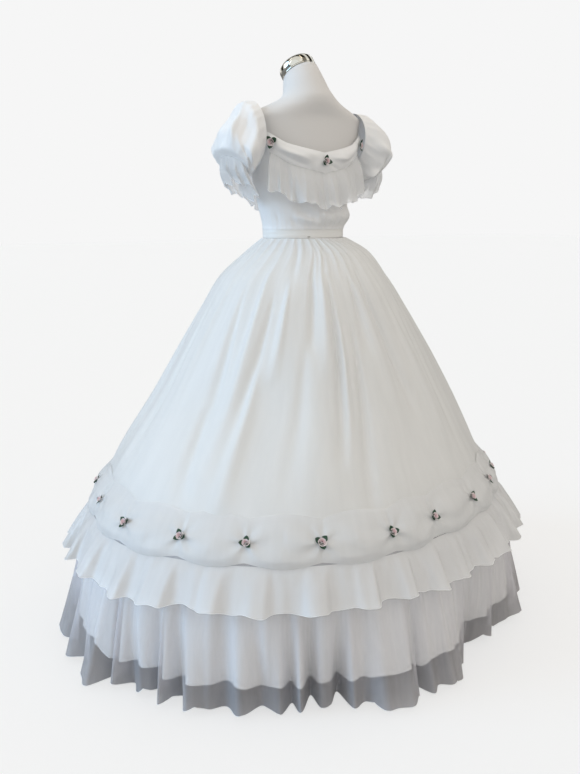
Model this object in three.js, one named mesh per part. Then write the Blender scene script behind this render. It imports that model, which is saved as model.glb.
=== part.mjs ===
// Period ball gown of white organza over satin, standing on a limbless dress form with a pole and a round base.
// Millimetres, +Z up. The front faces -Y, the back +Y, and the wearer's left is +X.
// The origin is the centre of the base's underside. Angles are degrees from the back (+Y) towards the left (+X).
import * as THREE from 'three';

const degree = Math.PI / 180;
const zAxis = new THREE.Vector3(0, 0, 1);

// Driving sizes
const cloth = 2;
const seamGap = 0.3;
const seat = 0.4;
const waistTop = 1060;
const waistBottom = 1035;
const skirtBottom = 345;
const bodiceEase = 3.6;
const torsoColumns = 30;

// Colours
const organza = { color: 0xeef2f6, roughness: 0.75, metalness: 0 };
const satin = { color: 0xe9ecef, roughness: 0.45, metalness: 0 };
const formCover = { color: 0xf1efec, roughness: 0.6, metalness: 0 };
const chrome = { color: 0xc9ccd0, roughness: 0.15, metalness: 1 };
const paintedSteel = { color: 0xe4e4e2, roughness: 0.4, metalness: 0.2 };
const roseRibbon = { color: 0xe9b9c0, roughness: 0.6, metalness: 0 };

// Skirt rings from the waist to the bottom seam: an oval of half axes long and short, its long axis at turn,
// moved sideways by shift. inset is how far the underskirt lies inside it and gather is its gathers' height.
const skirtRings = [
  { level: 1035, long: 120, short: 92, turn: 90, shift: -2, inset: 2.4, gather: 0 },
  { level: 1000, long: 177, short: 150, turn: 80, shift: -12, inset: 11, gather: 3.5 },
  { level: 930, long: 245, short: 222, turn: 68, shift: 0, inset: 14, gather: 4.5 },
  { level: 850, long: 302, short: 270, turn: 62, shift: 0, inset: 17, gather: 3 },
  { level: 750, long: 366, short: 325, turn: 60, shift: 0, inset: 20, gather: 1.5 },
  { level: 650, long: 426, short: 378, turn: 60, shift: 2, inset: 22, gather: 1 },
  { level: 460, long: 560, short: 482, turn: 60, shift: 14, inset: 22, gather: 0 },
  { level: 320, long: 648, short: 549, turn: 60, shift: 12, inset: 20, gather: 0 },
];

// Broad folds of the skirt: height is out of the cloth, or into it below zero, and width is half the fold's width.
const skirtFolds = [
  { turn: 58, top: 900, bottom: 470, height: 9, width: 5 },
  { turn: 67, top: 760, bottom: 480, height: -8, width: 5 },
  { turn: 50, top: 880, bottom: 480, height: 8, width: 4 },
  { turn: 41, top: 930, bottom: 620, height: 8, width: 4 },
  { turn: 28, top: 760, bottom: 500, height: 7, width: 4 },
  { turn: 20, top: 860, bottom: 520, height: -7, width: 4 },
  { turn: 13, top: 800, bottom: 470, height: -8, width: 4 },
  { turn: 3, top: 960, bottom: 640, height: 7, width: 5 },
  { turn: -14, top: 960, bottom: 560, height: -8, width: 4 },
  { turn: -27, top: 840, bottom: 480, height: 7, width: 5 },
  { turn: -44, top: 780, bottom: 470, height: -7, width: 5 },
  { turn: -62, top: 900, bottom: 520, height: 8, width: 5 },
  { turn: -84, top: 860, bottom: 480, height: -8, width: 5 },
  { turn: -103, top: 920, bottom: 500, height: 8, width: 5 },
  { turn: -121, top: 800, bottom: 470, height: -7, width: 5 },
  { turn: -142, top: 930, bottom: 540, height: 8, width: 5 },
  { turn: -160, top: 760, bottom: 480, height: -8, width: 4 },
  { turn: -178, top: 900, bottom: 500, height: 8, width: 5 },
  { turn: 164, top: 820, bottom: 470, height: -7, width: 5 },
  { turn: 147, top: 920, bottom: 520, height: 7, width: 5 },
  { turn: 128, top: 780, bottom: 480, height: -8, width: 5 },
  { turn: 108, top: 900, bottom: 500, height: 8, width: 5 },
  { turn: 88, top: 840, bottom: 490, height: -7, width: 5 },
];

// The roses that catch the swag band into puffs, in order round the skirt, with the band's middle level at each.
const skirtRoses = [
  { turn: -42, level: 397 },
  { turn: -24, level: 394 },
  { turn: -4.5, level: 391 },
  { turn: 9.5, level: 383 },
  { turn: 27, level: 383 },
  { turn: 43, level: 386 },
  { turn: 57.5, level: 387 },
  { turn: 74, level: 383 },
  { turn: 90, level: 392 },
  { turn: 108, level: 390 },
  { turn: 124, level: 386 },
  { turn: 141, level: 384 },
  { turn: 158, level: 388 },
  { turn: 174, level: 385 },
  { turn: 191, level: 383 },
  { turn: 207, level: 386 },
  { turn: 224, level: 389 },
  { turn: 240, level: 386 },
  { turn: 257, level: 390 },
  { turn: 273, level: 394 },
  { turn: 289, level: 392 },
  { turn: 304, level: 395 },
];

// The swag band across its width: drop from the band's middle, and how far it stands out in a puff and at a rose.
const bandRows = [
  { drop: -50, puff: 0, caught: 0 },
  { drop: -26, puff: 22, caught: 7 },
  { drop: 0, puff: 30, caught: 10 },
  { drop: 26, puff: 20, caught: 7 },
  { drop: 46, puff: 0, caught: 0 },
];

// Upper ruffle and bottom flounce: drop below the top seam, flare out of the skirt's oval, and height of the waves.
const ruffleRows = [
  { drop: 0, flare: 0, wave: 0 },
  { drop: 34, flare: 22, wave: 5 },
  { drop: 84, flare: 40, wave: 11 },
];
const flounceRings = [
  { level: 320, long: 648, short: 549, turn: 60, shift: 12, wave: 0, reach: 0 },
  { level: 180, long: 684, short: 577, turn: 60, shift: 10, wave: 12, reach: 0.4 },
  { level: 6, long: 712, short: 600, turn: 60, shift: 6, wave: 21, reach: 1 },
];
// Where the hem swings further out or in than its oval.
const hemReach = [
  { turn: -60, out: 0 },
  { turn: -42, out: 4 },
  { turn: -33, out: -22 },
  { turn: -24, out: -42 },
  { turn: -15, out: -46 },
  { turn: -8, out: -8 },
  { turn: -2, out: 24 },
  { turn: 14, out: 28 },
  { turn: 28, out: -24 },
  { turn: 42, out: -12 },
  { turn: 53, out: 6 },
  { turn: 62, out: -6 },
  { turn: 75, out: 38 },
  { turn: 81, out: 24 },
  { turn: 90, out: -8 },
  { turn: 104, out: -6 },
  { turn: 116, out: 14 },
  { turn: 140, out: 8 },
  { turn: 170, out: -10 },
  { turn: 200, out: 12 },
  { turn: 235, out: -8 },
  { turn: 262, out: 8 },
  { turn: 300, out: 0 },
];
const underskirtLowRings = [
  { level: 200, long: 636, short: 540, turn: 60, shift: 10, reach: 0.35 },
  { level: 60, long: 650, short: 556, turn: 60, shift: 8, reach: 0.9 },
];

// Dress form rings: half widths to the sides, front and back, the ring's centre towards the back, and its lean.
const torsoRings = [
  { level: 822, wide: 118, front: 84, back: 92, centre: 0, lean: 0 },
  { level: 838, wide: 146, front: 102, back: 112, centre: 0, lean: 0 },
  { level: 885, wide: 158, front: 108, back: 122, centre: 0, lean: 0 },
  { level: 960, wide: 142, front: 99, back: 106, centre: 0, lean: 0 },
  { level: 1035, wide: 112.6, front: 86.6, back: 86.6, centre: 0, lean: 0 },
  { level: 1060, wide: 112.6, front: 86.6, back: 86.6, centre: 0, lean: 0 },
  { level: 1120, wide: 124, front: 101, back: 92, centre: 0, lean: 0 },
  { level: 1180, wide: 136, front: 118, back: 97, centre: 0, lean: 0 },
  { level: 1225, wide: 144, front: 122, back: 100, centre: 0, lean: 0 },
  { level: 1265, wide: 153, front: 106, back: 98, centre: 0, lean: 0 },
  { level: 1305, wide: 166, front: 86, back: 90, centre: 2, lean: 0 },
  { level: 1345, wide: 170, front: 70, back: 80, centre: 6, lean: 0 },
  { level: 1364, wide: 140, front: 64, back: 76, centre: 12, lean: 0 },
  { level: 1380, wide: 104, front: 60, back: 72, centre: 18, lean: 0 },
  { level: 1396, wide: 76, front: 58, back: 66, centre: 22, lean: 3 },
  { level: 1413, wide: 63, front: 55, back: 58, centre: 15, lean: 10 },
  { level: 1436, wide: 55, front: 49, back: 50, centre: 2, lean: 22 },
  { level: 1460, wide: 48, front: 39, back: 39, centre: -12, lean: 36 },
];
const neckLeanTurn = 172;
const capRings = [
  { rise: 0.4, radius: 48 },
  { rise: 27, radius: 48 },
  { rise: 33, radius: 42 },
  { rise: 36, radius: 27 },
];

// Top edge of the bodice from the centre back round to the centre front, the same on both sides.
const neckline = [
  { turn: 0, level: 1254 },
  { turn: 36, level: 1276 },
  { turn: 60, level: 1306 },
  { turn: 72, level: 1256 },
  { turn: 90, level: 1235 },
  { turn: 108, level: 1250 },
  { turn: 120, level: 1298 },
  { turn: 150, level: 1258 },
  { turn: 180, level: 1238 },
];

// Bertha: a draped band round the neckline and the ruffle under it, seen from its middle rose out to its ends.
const berthaHalfSpan = 60;
const berthaBandRows = [
  { drop: 0, puff: 1, caught: 0 },
  { drop: 22, puff: 15, caught: 6 },
  { drop: 52, puff: 4, caught: 4 },
];
const berthaRuffleRows = [
  { drop: 0, flare: 0, wave: 0 },
  { drop: 34, flare: 20, wave: 5 },
  { drop: 92, flare: 34, wave: 8 },
];

// Off-shoulder sleeves: each ring runs from a low point to a high point in the plane Y = 0, and deep is its half
// depth. A sleeve that has slipped lies drop lower at the top, and puffs out by spread times the ring's share.
const sleeveRings = [
  { lowX: 148.4, lowZ: 1226, highX: 158, highZ: 1384, deep: 72, share: 0 },
  { lowX: 161, lowZ: 1206, highX: 184, highZ: 1381, deep: 80, share: 0.4 },
  { lowX: 171, lowZ: 1194, highX: 210, highZ: 1350, deep: 88, share: 1 },
  { lowX: 180, lowZ: 1190, highX: 246, highZ: 1306, deep: 92, share: 0.2 },
  { lowX: 186, lowZ: 1192, highX: 250, highZ: 1270, deep: 78, share: 0 },
  { lowX: 190, lowZ: 1194, highX: 234, highZ: 1246, deep: 62, share: 0 },
];
const frillRings = [
  { lowX: 190, lowZ: 1194, highX: 234, highZ: 1246, deep: 62, share: 0, wave: 0 },
  { lowX: 175, lowZ: 1166, highX: 234, highZ: 1218, deep: 68, share: 0, wave: 4 },
  { lowX: 159, lowZ: 1137, highX: 217, highZ: 1180, deep: 70, share: 0, wave: 7 },
];
const sleeveSides = [
  { name: 'left', side: 1, drop: 0, spread: 0 },
  { name: 'right', side: -1, drop: 16, spread: 24 },
];

// Pole, base and closure
const poleRadius = 14;
const baseRadius = 200;
const baseThickness = 10;
const hookSize = { wide: 9, deep: 1.6, high: 3 };
const hookTurn = 18;

const gown = new THREE.Group();

function add(name, geometry, finish) {
  geometry.computeVertexNormals();
  const mesh = new THREE.Mesh(geometry, new THREE.MeshStandardMaterial({ ...finish, name }));
  mesh.name = name;
  gown.add(mesh);
  return mesh;
}

// The row of a table at a level or a turn, each column worked out along straight lines between the rows.
function between(rows, key, value) {
  const rising = rows[rows.length - 1][key] > rows[0][key];
  let index = rows.findIndex((row) => (rising ? row[key] >= value : row[key] <= value));
  index = index < 1 ? (index === 0 ? 1 : rows.length - 1) : index;
  const a = rows[index - 1];
  const b = rows[index];
  const part = THREE.MathUtils.clamp((value - a[key]) / (b[key] - a[key]), 0, 1);
  return Object.fromEntries(Object.keys(a).map((column) => [column, a[column] + part * (b[column] - a[column])]));
}

function ovalRadius(long, short, angle) {
  return (long * short) / Math.hypot(short * Math.cos(angle), long * Math.sin(angle));
}

// A point on an oval ring at turn, moved straight out by out.
function ringPoint(ring, turn, level, out = 0) {
  const angle = turn * degree;
  const radius = ovalRadius(ring.long, ring.short, angle - ring.turn * degree) + out;
  return new THREE.Vector3(ring.shift + radius * Math.sin(angle), radius * Math.cos(angle), level);
}

// A soft hump: 1 in the middle and 0 from an edge outwards, for a distance given in half widths.
function hump(distance) {
  return Math.abs(distance) < 1 ? 0.5 + 0.5 * Math.cos(Math.PI * distance) : 0;
}

function turnBetween(a, b) {
  return ((((a - b) % 360) + 540) % 360) - 180;
}

// Evenly counted waves whose widths and heights wander a little, so that no two are alike.
function unevenWave(turn, count, wander) {
  const angle = turn * degree;
  const height = 0.75 + 0.25 * Math.sin(5 * angle + wander);
  return height * Math.cos(count * angle + 0.9 * Math.sin(3 * angle + wander) + 0.6 * Math.sin(7 * angle));
}

function steps(from, to, count) {
  return Array.from({ length: count + 1 }, (_, index) => from + ((to - from) * index) / count);
}

// A closed wall of cloth. point(station, row) gives its outer face; the inner face lies a cloth's thickness inside
// it, in the plane whose upward normal is up(row). A round wall closes on itself, another ends in two seams.
function clothWall({ stations, rows, point, up = () => zAxis, round = false, thickness = cloth }) {
  const across = stations.length;
  const column = (station) => rows.map((row) => point(station, row));
  const outer = stations.map(column);
  const before = round ? outer[across - 1] : column(2 * stations[0] - stations[1]);
  const after = round ? outer[0] : column(2 * stations[across - 1] - stations[across - 2]);
  const beside = [before, ...outer.map((corners) => corners.map((corner) => corner.clone())), after];
  const tangents = outer.map((corners, i) => corners.map((_, j) => beside[i + 2][j].clone()
    .sub(beside[i][j])
    .normalize()));
  if (!round) {
    outer[0].forEach((corner, j) => corner.addScaledVector(tangents[0][j], seamGap / 2));
    outer[across - 1].forEach((corner, j) => corner.addScaledVector(tangents[across - 1][j], -seamGap / 2));
  }
  const inner = outer.map((corners, i) => corners.map((corner, j) => {
    const outward = up(rows[j]).clone().cross(tangents[i][j]).normalize();
    return corner.clone().addScaledVector(outward, -thickness);
  }));
  const positions = [...outer.flat(), ...inner.flat()].flatMap((corner) => corner.toArray());
  const down = rows.length;
  const out = (i, j) => (i % across) * down + j;
  const inn = (i, j) => across * down + out(i, j);
  const faces = [];
  const quad = (a, b, c, d) => faces.push(a, c, b, a, d, c);
  const spans = round ? across : across - 1;
  for (let i = 0; i < spans; i += 1) {
    for (let j = 0; j < down - 1; j += 1) {
      quad(out(i, j), out(i, j + 1), out(i + 1, j + 1), out(i + 1, j));
      quad(inn(i, j), inn(i + 1, j), inn(i + 1, j + 1), inn(i, j + 1));
    }
    quad(out(i + 1, 0), inn(i + 1, 0), inn(i, 0), out(i, 0));
    quad(out(i, down - 1), inn(i, down - 1), inn(i + 1, down - 1), out(i + 1, down - 1));
  }
  if (!round) {
    for (let j = 0; j < down - 1; j += 1) {
      quad(out(0, j), inn(0, j), inn(0, j + 1), out(0, j + 1));
      quad(out(spans, j), out(spans, j + 1), inn(spans, j + 1), inn(spans, j));
    }
  }
  const geometry = new THREE.BufferGeometry();
  geometry.setAttribute('position', new THREE.Float32BufferAttribute(positions, 3));
  geometry.setIndex(faces);
  return geometry;
}

// A closed solid through rings of points, from the bottom up, each end shut by a fan to its middle.
function ringedSolid(rings) {
  const count = rings[0].length;
  const middle = (ring) => ring.reduce((sum, corner) => sum.add(corner), new THREE.Vector3()).divideScalar(count);
  const corners = [...rings.flat(), middle(rings[0]), middle(rings[rings.length - 1])];
  const bottom = corners.length - 2;
  const top = corners.length - 1;
  const lastRing = (rings.length - 1) * count;
  const faces = [];
  for (let i = 0; i < count; i += 1) {
    const next = (i + 1) % count;
    for (let start = 0; start < lastRing; start += count) {
      faces.push(start + i, start + next + count, start + next, start + i, start + i + count, start + next + count);
    }
    faces.push(bottom, i, next);
    faces.push(top, lastRing + next, lastRing + i);
  }
  const geometry = new THREE.BufferGeometry();
  geometry.setAttribute('position', new THREE.Float32BufferAttribute(corners.flatMap((c) => c.toArray()), 3));
  geometry.setIndex(faces);
  return geometry;
}

// Dress form

// A point on the dress form, moved out of it by out. A leaning ring drops towards neckLeanTurn.
function formPoint(level, turn, out = 0) {
  const ring = between(torsoRings, 'level', level);
  const angle = turn * degree;
  const depth = Math.cos(angle) > 0 ? ring.back : ring.front;
  const x = (ring.wide + out) * Math.sin(angle);
  const y = (depth + out) * Math.cos(angle);
  const towards = x * Math.sin(neckLeanTurn * degree) + y * Math.cos(neckLeanTurn * degree);
  return new THREE.Vector3(x, y + ring.centre, level - towards * Math.tan(ring.lean * degree));
}

const torsoTurns = steps(0, 360, torsoColumns).slice(0, -1);
const torsoStack = torsoRings.map(({ level }) => torsoTurns.map((turn) => formPoint(level, turn)));
add('form_torso', ringedSolid(torsoStack), formCover);

function buildNeckCap() {
  const top = torsoRings[torsoRings.length - 1];
  const lean = new THREE.Vector3(Math.sin(neckLeanTurn * degree), Math.cos(neckLeanTurn * degree), 0);
  const axis = zAxis.clone().multiplyScalar(Math.cos(top.lean * degree));
  axis.addScaledVector(lean, Math.sin(top.lean * degree));
  const along = new THREE.Vector3().crossVectors(lean, axis).normalize();
  const across = new THREE.Vector3().crossVectors(axis, along).normalize();
  const centre = new THREE.Vector3(0, top.centre, top.level);
  const capTurns = steps(0, 360, 20).slice(0, -1);
  const stack = capRings.map(({ rise, radius }) => capTurns.map((turn) => centre.clone()
    .addScaledVector(axis, rise)
    .addScaledVector(across, -radius * Math.cos(turn * degree))
    .addScaledVector(along, -radius * Math.sin(turn * degree))));
  add('form_neck_cap', ringedSolid(stack), chrome);
}
buildNeckCap();

const poleHeight = torsoRings[0].level - baseThickness - 2 * seat;
const pole = new THREE.CylinderGeometry(poleRadius, poleRadius, poleHeight, 16);
pole.rotateX(Math.PI / 2);
add('form_pole', pole, chrome).position.z = baseThickness + seat + poleHeight / 2;

const base = new THREE.CylinderGeometry(baseRadius - 6, baseRadius, baseThickness, 36);
base.rotateX(Math.PI / 2);
add('form_base', base, paintedSteel).position.z = baseThickness / 2;

// Bodice and waistband

// The bodice blouses over the waistband at the back, most at the centre.
function blouse(turn, level) {
  const centre = 17 * hump(turnBetween(turn, -16) / 74) * hump((level - 1092) / 36);
  const rightSide = 7 * hump(turnBetween(turn, -62) / 50) * hump((level - 1090) / 36);
  return centre + rightSide;
}

function bodicePoint(turn, level, out = 0) {
  return formPoint(level, turn, bodiceEase + blouse(turn, level) + out);
}

function necklineLevel(turn) {
  return between(neckline, 'turn', Math.abs(turnBetween(turn, 0))).level;
}

// Bodice rows from its neckline down: rise is the share of the way from the level up to the neckline.
const bodiceRows = [
  { level: 1225, rise: 1 },
  { level: 1225, rise: 0.5 },
  { level: 1225, rise: 0 },
  { level: 1180, rise: 0 },
  { level: 1120, rise: 0 },
  { level: 1092, rise: 0 },
  { level: waistTop + seamGap, rise: 0 },
];
const bodicePanels = [
  { name: 'bodice_back_left', from: 0, to: 96 },
  { name: 'bodice_front', from: 96, to: 264 },
  { name: 'bodice_back_right', from: 264, to: 360 },
];
for (const { name, from, to } of bodicePanels) {
  add(name, clothWall({
    stations: steps(from, to, ((to - from) * torsoColumns) / 360),
    rows: bodiceRows,
    point: (turn, row) => bodicePoint(turn, row.level + row.rise * (necklineLevel(turn) - row.level)),
  }), organza);
}

const bandThickness = 3;
add('waistband', clothWall({
  stations: torsoTurns,
  rows: [waistTop, waistBottom + seamGap],
  point: (turn, level) => formPoint(level, turn, seat + bandThickness),
  thickness: bandThickness,
  round: true,
}), satin);

const hook = new THREE.BoxGeometry(hookSize.wide, hookSize.deep, hookSize.high);
const hookLevel = waistBottom + 4;
const hookOut = 2 * seat + bandThickness + hookSize.deep / 2;
const hookAlong = formPoint(hookLevel, hookTurn + 1, hookOut).sub(formPoint(hookLevel, hookTurn - 1, hookOut));
const hookPiece = add('back_hook', hook, chrome);
hookPiece.position.copy(formPoint(hookLevel, hookTurn, hookOut));
hookPiece.rotation.z = Math.atan2(hookAlong.y, hookAlong.x);

// Skirt tiers

function skirtRing(level) {
  return between(skirtRings, 'level', level);
}

function hemSwing(turn) {
  return between(hemReach, 'turn', turn > 300 ? turn - 360 : turn).out;
}

function foldHeight(turn, level) {
  return skirtFolds.reduce((sum, fold) => {
    const along = (fold.top + fold.bottom - 2 * level) / (fold.top - fold.bottom);
    return sum + fold.height * hump(along) * hump(turnBetween(turn, fold.turn) / (1.6 * fold.width));
  }, 0);
}

const gatherCount = 24;
function skirtPoint(turn, level) {
  const ring = skirtRing(level);
  return ringPoint(ring, turn, level, ring.gather * unevenWave(turn, gatherCount, 1) + foldHeight(turn, level));
}

// The band's middle level, along straight lines from rose to rose, and how near the place is to a puff's middle.
function bandPlace(turn) {
  const count = skirtRoses.length;
  for (let index = 0; index < count; index += 1) {
    const a = skirtRoses[index];
    const b = skirtRoses[(index + 1) % count];
    const width = (b.turn - a.turn + 360) % 360;
    const along = (turn - a.turn + 720) % 360;
    if (along < width) {
      const part = along / width;
      return { level: a.level + part * (b.level - a.level), fullness: Math.sin(Math.PI * part) ** 1.2 };
    }
  }
  return { level: skirtRoses[0].level, fullness: 0 };
}

// Round tiers are cut as panels, each a node of its own, with the same gap at every seam.
function addPanels(name, turns, panelCount, wall, finish) {
  const size = (turns.length - 1) / panelCount;
  for (let panel = 0; panel < panelCount; panel += 1) {
    const stations = turns.slice(Math.round(panel * size), Math.round((panel + 1) * size) + 1);
    add(`${name}_${panel + 1}`, clothWall({ stations, ...wall }), finish);
  }
}

addPanels('skirt_panel', steps(0, 360, 4 * gatherCount), 4, {
  rows: [waistBottom, 1000, 930, 850, 750, 650, 560, 460, skirtBottom],
  point: skirtPoint,
}, organza);

addPanels('underskirt_panel', steps(0, 360, 36), 3, {
  rows: [waistBottom, 1000, 930, 750, 460, 330, 200, 60],
  point: (turn, level) => {
    if (level > underskirtLowRings[0].level) {
      const ring = skirtRing(level);
      return ringPoint(ring, turn, level, -ring.inset);
    }
    const ring = between(underskirtLowRings, 'level', level);
    return ringPoint(ring, turn, level, ring.reach * Math.min(0, hemSwing(turn)));
  },
}, satin);

const bandSteps = 4;
const bandTurns = skirtRoses.flatMap((rose, index) => {
  const next = skirtRoses[(index + 1) % skirtRoses.length];
  const width = (next.turn - rose.turn + 360) % 360;
  return steps(rose.turn, rose.turn + width, bandSteps).slice(0, -1);
});
bandTurns.push(bandTurns[0] + 360);

function bandPoint(turn, row) {
  const { level, fullness } = bandPlace(turn);
  const height = level - row.drop;
  const out = cloth + 2 * seat + row.caught + (row.puff - row.caught) * fullness;
  return ringPoint(skirtRing(height), turn, height, out);
}
addPanels('swag_band', bandTurns, 2, { rows: bandRows, point: bandPoint }, organza);

const ruffleWaves = 36;
const ruffleTop = (turn) => bandPlace(turn).level - bandRows[bandRows.length - 1].drop - 2 * seamGap;
addPanels('upper_ruffle', steps(0, 360, 4 * ruffleWaves), 2, {
  rows: ruffleRows,
  point: (turn, row) => {
    const sag = 1 + 0.3 * (1 - Math.cos((turn - 32) * degree)) + 0.06 * unevenWave(turn, 11, 2);
    const height = ruffleTop(turn) - row.drop * sag;
    const out = cloth + 2 * seat + row.flare + row.wave * unevenWave(turn, ruffleWaves, 0);
    const ring = height > flounceRings[0].level ? skirtRing(height) : between(flounceRings, 'level', height);
    return ringPoint(ring, turn, height, out);
  },
}, organza);

const flounceWaves = 44;
const flounceTop = { ...skirtRing(skirtBottom - seamGap), level: skirtBottom - seamGap, wave: 0, reach: 0 };
addPanels('bottom_flounce', steps(0, 360, 4 * flounceWaves), 4, {
  rows: [flounceTop, ...flounceRings.slice(1)],
  point: (turn, row) => {
    const swing = row.wave * unevenWave(turn, flounceWaves, 4) + row.reach * hemSwing(turn);
    return ringPoint(row, turn, row.level, swing);
  },
}, organza);

// Bertha, on the back and on the front

const berthaSides = [
  { name: 'back', middle: 0 },
  { name: 'front', middle: 180 },
];
const berthaWaves = 30;
function berthaPoint(turn, drop, out) {
  return bodicePoint(turn, necklineLevel(turn) - drop, cloth + seat + out);
}

// The band is caught flat at its roses: at the middle of the back and of the front, and at its ends.
function berthaBandPoint(turn, row) {
  const fullness = Math.sin((Math.PI * turn) / berthaHalfSpan) ** 2;
  return berthaPoint(turn, row.drop, row.caught + (row.puff - row.caught) * fullness);
}
for (const { name, middle } of berthaSides) {
  const from = middle - berthaHalfSpan;
  const to = middle + berthaHalfSpan;
  add(`bertha_band_${name}`, clothWall({
    stations: steps(from, to, 20),
    rows: berthaBandRows,
    point: berthaBandPoint,
  }), organza);
  const top = berthaBandRows[berthaBandRows.length - 1];
  add(`bertha_ruffle_${name}`, clothWall({
    stations: steps(from + 6, to - 6, 36),
    rows: berthaRuffleRows,
    point: (turn, row) => {
      const wave = row.wave * unevenWave(turn, berthaWaves, 5);
      return berthaPoint(turn, top.drop + seamGap + row.drop, top.puff + row.flare + wave);
    },
  }), organza);
}

// Sleeves and their frills

// Half the way from a ring's low point to its high point, on the wearer's left.
function sleeveReach(ring, { drop, spread }) {
  const across = ring.highX + spread * ring.share - ring.lowX;
  return new THREE.Vector3(across, 0, ring.highZ - drop - ring.lowZ).multiplyScalar(0.5);
}

function sleevePoint(ring, turn, arm, out = 0) {
  const reach = sleeveReach(ring, arm);
  const half = reach.length();
  const angle = turn * degree;
  const corner = new THREE.Vector3(ring.lowX, 0, ring.lowZ).add(reach)
    .addScaledVector(reach.normalize(), (half + out) * Math.cos(angle));
  return new THREE.Vector3(arm.side * corner.x, -arm.side * (ring.deep + out) * Math.sin(angle), corner.z);
}

function sleeveUp(ring, arm) {
  const reach = sleeveReach(ring, arm);
  return new THREE.Vector3(-arm.side * reach.z, 0, reach.x).normalize();
}

const frillWaves = 10;
for (const arm of sleeveSides) {
  add(`sleeve_${arm.name}`, clothWall({
    stations: steps(0, 360, 20).slice(0, -1),
    rows: sleeveRings,
    point: (turn, ring) => sleevePoint(ring, turn, arm),
    up: (ring) => sleeveUp(ring, arm),
    round: true,
  }), organza);
  const offset = sleeveUp(frillRings[0], arm).multiplyScalar(-seamGap);
  add(`sleeve_frill_${arm.name}`, clothWall({
    stations: steps(0, 360, 4 * frillWaves).slice(0, -1),
    rows: frillRings,
    point: (turn, ring) => {
      const wave = ring.wave * unevenWave(turn, frillWaves, arm.side);
      return sleevePoint(ring, turn, arm, wave).add(offset);
    },
    up: (ring) => sleeveUp(ring, arm),
    round: true,
  }), organza);
}

// Ribbon roses: a bud on three leaves whose tips lift off the cloth, in one closed solid.

const roseSizes = { tip: 17, waist: 9, bud: 7.5, budHeight: 10, leaf: 1.5, lift: 0.5 };
function roseGeometry() {
  const turns = steps(0, 360, 6).slice(0, -1);
  const reach = turns.map((_, index) => (index % 2 === 0 ? roseSizes.tip : roseSizes.waist));
  const layer = (radius, height) => turns.map((turn, index) => new THREE.Vector3(
    radius(index) * Math.cos(turn * degree),
    -radius(index) * Math.sin(turn * degree),
    height(index),
  ));
  const foot = layer(() => 1.5, () => 0);
  const under = layer((i) => reach[i], (i) => roseSizes.lift * reach[i]);
  const over = layer((i) => reach[i], (i) => roseSizes.lift * reach[i] + roseSizes.leaf);
  const bud = layer(() => roseSizes.bud, () => roseSizes.budHeight);
  return ringedSolid([foot, under, over, bud]);
}

// Sets a rose on the middle row of a band, square to the cloth there, its leaves turned by spin. point(turn, row)
// is the band's outer face, above and below are the rows beside the middle one.
function addRose(name, turn, point, [above, middle, below], spin) {
  const rose = add(name, roseGeometry(), roseRibbon);
  const tangent = point(turn + 2, middle).sub(point(turn - 2, middle));
  const rise = point(turn, above).sub(point(turn, below));
  const outward = rise.cross(tangent).normalize();
  const facing = new THREE.Quaternion().setFromUnitVectors(zAxis, outward);
  rose.quaternion.copy(facing).multiply(new THREE.Quaternion().setFromAxisAngle(zAxis, spin * degree));
  rose.position.copy(point(turn, middle)).addScaledVector(outward, seat);
}

skirtRoses.forEach((rose, index) => {
  const name = `skirt_rose_${String(index + 1).padStart(2, '0')}`;
  addRose(name, rose.turn, bandPoint, bandRows.slice(1, 4), 37 * index);
});

const bodiceRoses = [
  { name: 'rose_back_middle', turn: 0 },
  { name: 'rose_back_left', turn: 53 },
  { name: 'rose_back_right', turn: -53 },
  { name: 'rose_front_middle', turn: 180 },
  { name: 'rose_front_left', turn: 127 },
  { name: 'rose_front_right', turn: -127 },
];
bodiceRoses.forEach(({ name, turn }, index) => {
  addRose(name, turn, berthaBandPoint, berthaBandRows, 90 + 41 * index);
});

export default gown;
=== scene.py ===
# Ball gown of sheer white organza over satin, with puff sleeves, gathered tiers and ribbon roses, standing on
# a limbless dress form. Metres, +Z up, in the frame of the CAD solids: the front faces -Y, the back +Y and
# the wearer's left is +X. Turns are degrees from the back (+Y) towards the wearer's left (+X).
import math

import bpy
import numpy as np
from mathutils import Matrix, Vector


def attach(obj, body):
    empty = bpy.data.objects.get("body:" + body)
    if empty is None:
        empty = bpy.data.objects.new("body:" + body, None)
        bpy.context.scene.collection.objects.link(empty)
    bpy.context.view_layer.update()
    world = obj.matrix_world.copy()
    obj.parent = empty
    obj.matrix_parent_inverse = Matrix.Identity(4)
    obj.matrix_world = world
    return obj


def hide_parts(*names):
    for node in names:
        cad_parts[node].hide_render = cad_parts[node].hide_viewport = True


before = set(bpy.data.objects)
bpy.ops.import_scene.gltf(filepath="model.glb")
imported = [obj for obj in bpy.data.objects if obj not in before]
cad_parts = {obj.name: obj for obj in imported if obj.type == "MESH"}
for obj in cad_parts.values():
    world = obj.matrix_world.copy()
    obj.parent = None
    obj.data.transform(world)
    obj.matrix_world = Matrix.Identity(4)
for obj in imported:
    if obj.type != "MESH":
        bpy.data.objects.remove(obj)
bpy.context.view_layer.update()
degree = math.pi / 180
print("solids loaded")


def table(columns, *rows):
    # Rows of sizes, each value under its column's name
    return [dict(zip(columns.split(), row)) for row in rows]


def addObject(name, data):
    thing = bpy.data.objects.new(name, data)
    bpy.context.scene.collection.objects.link(thing)
    return thing


# Camera

camera = {"turn": 32, "distance": 2.489, "height": 1.106, "down": 0.193, "aside": -0.015, "roll": -0.004,
          "lens": 41.86, "sensor": 36}


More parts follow.
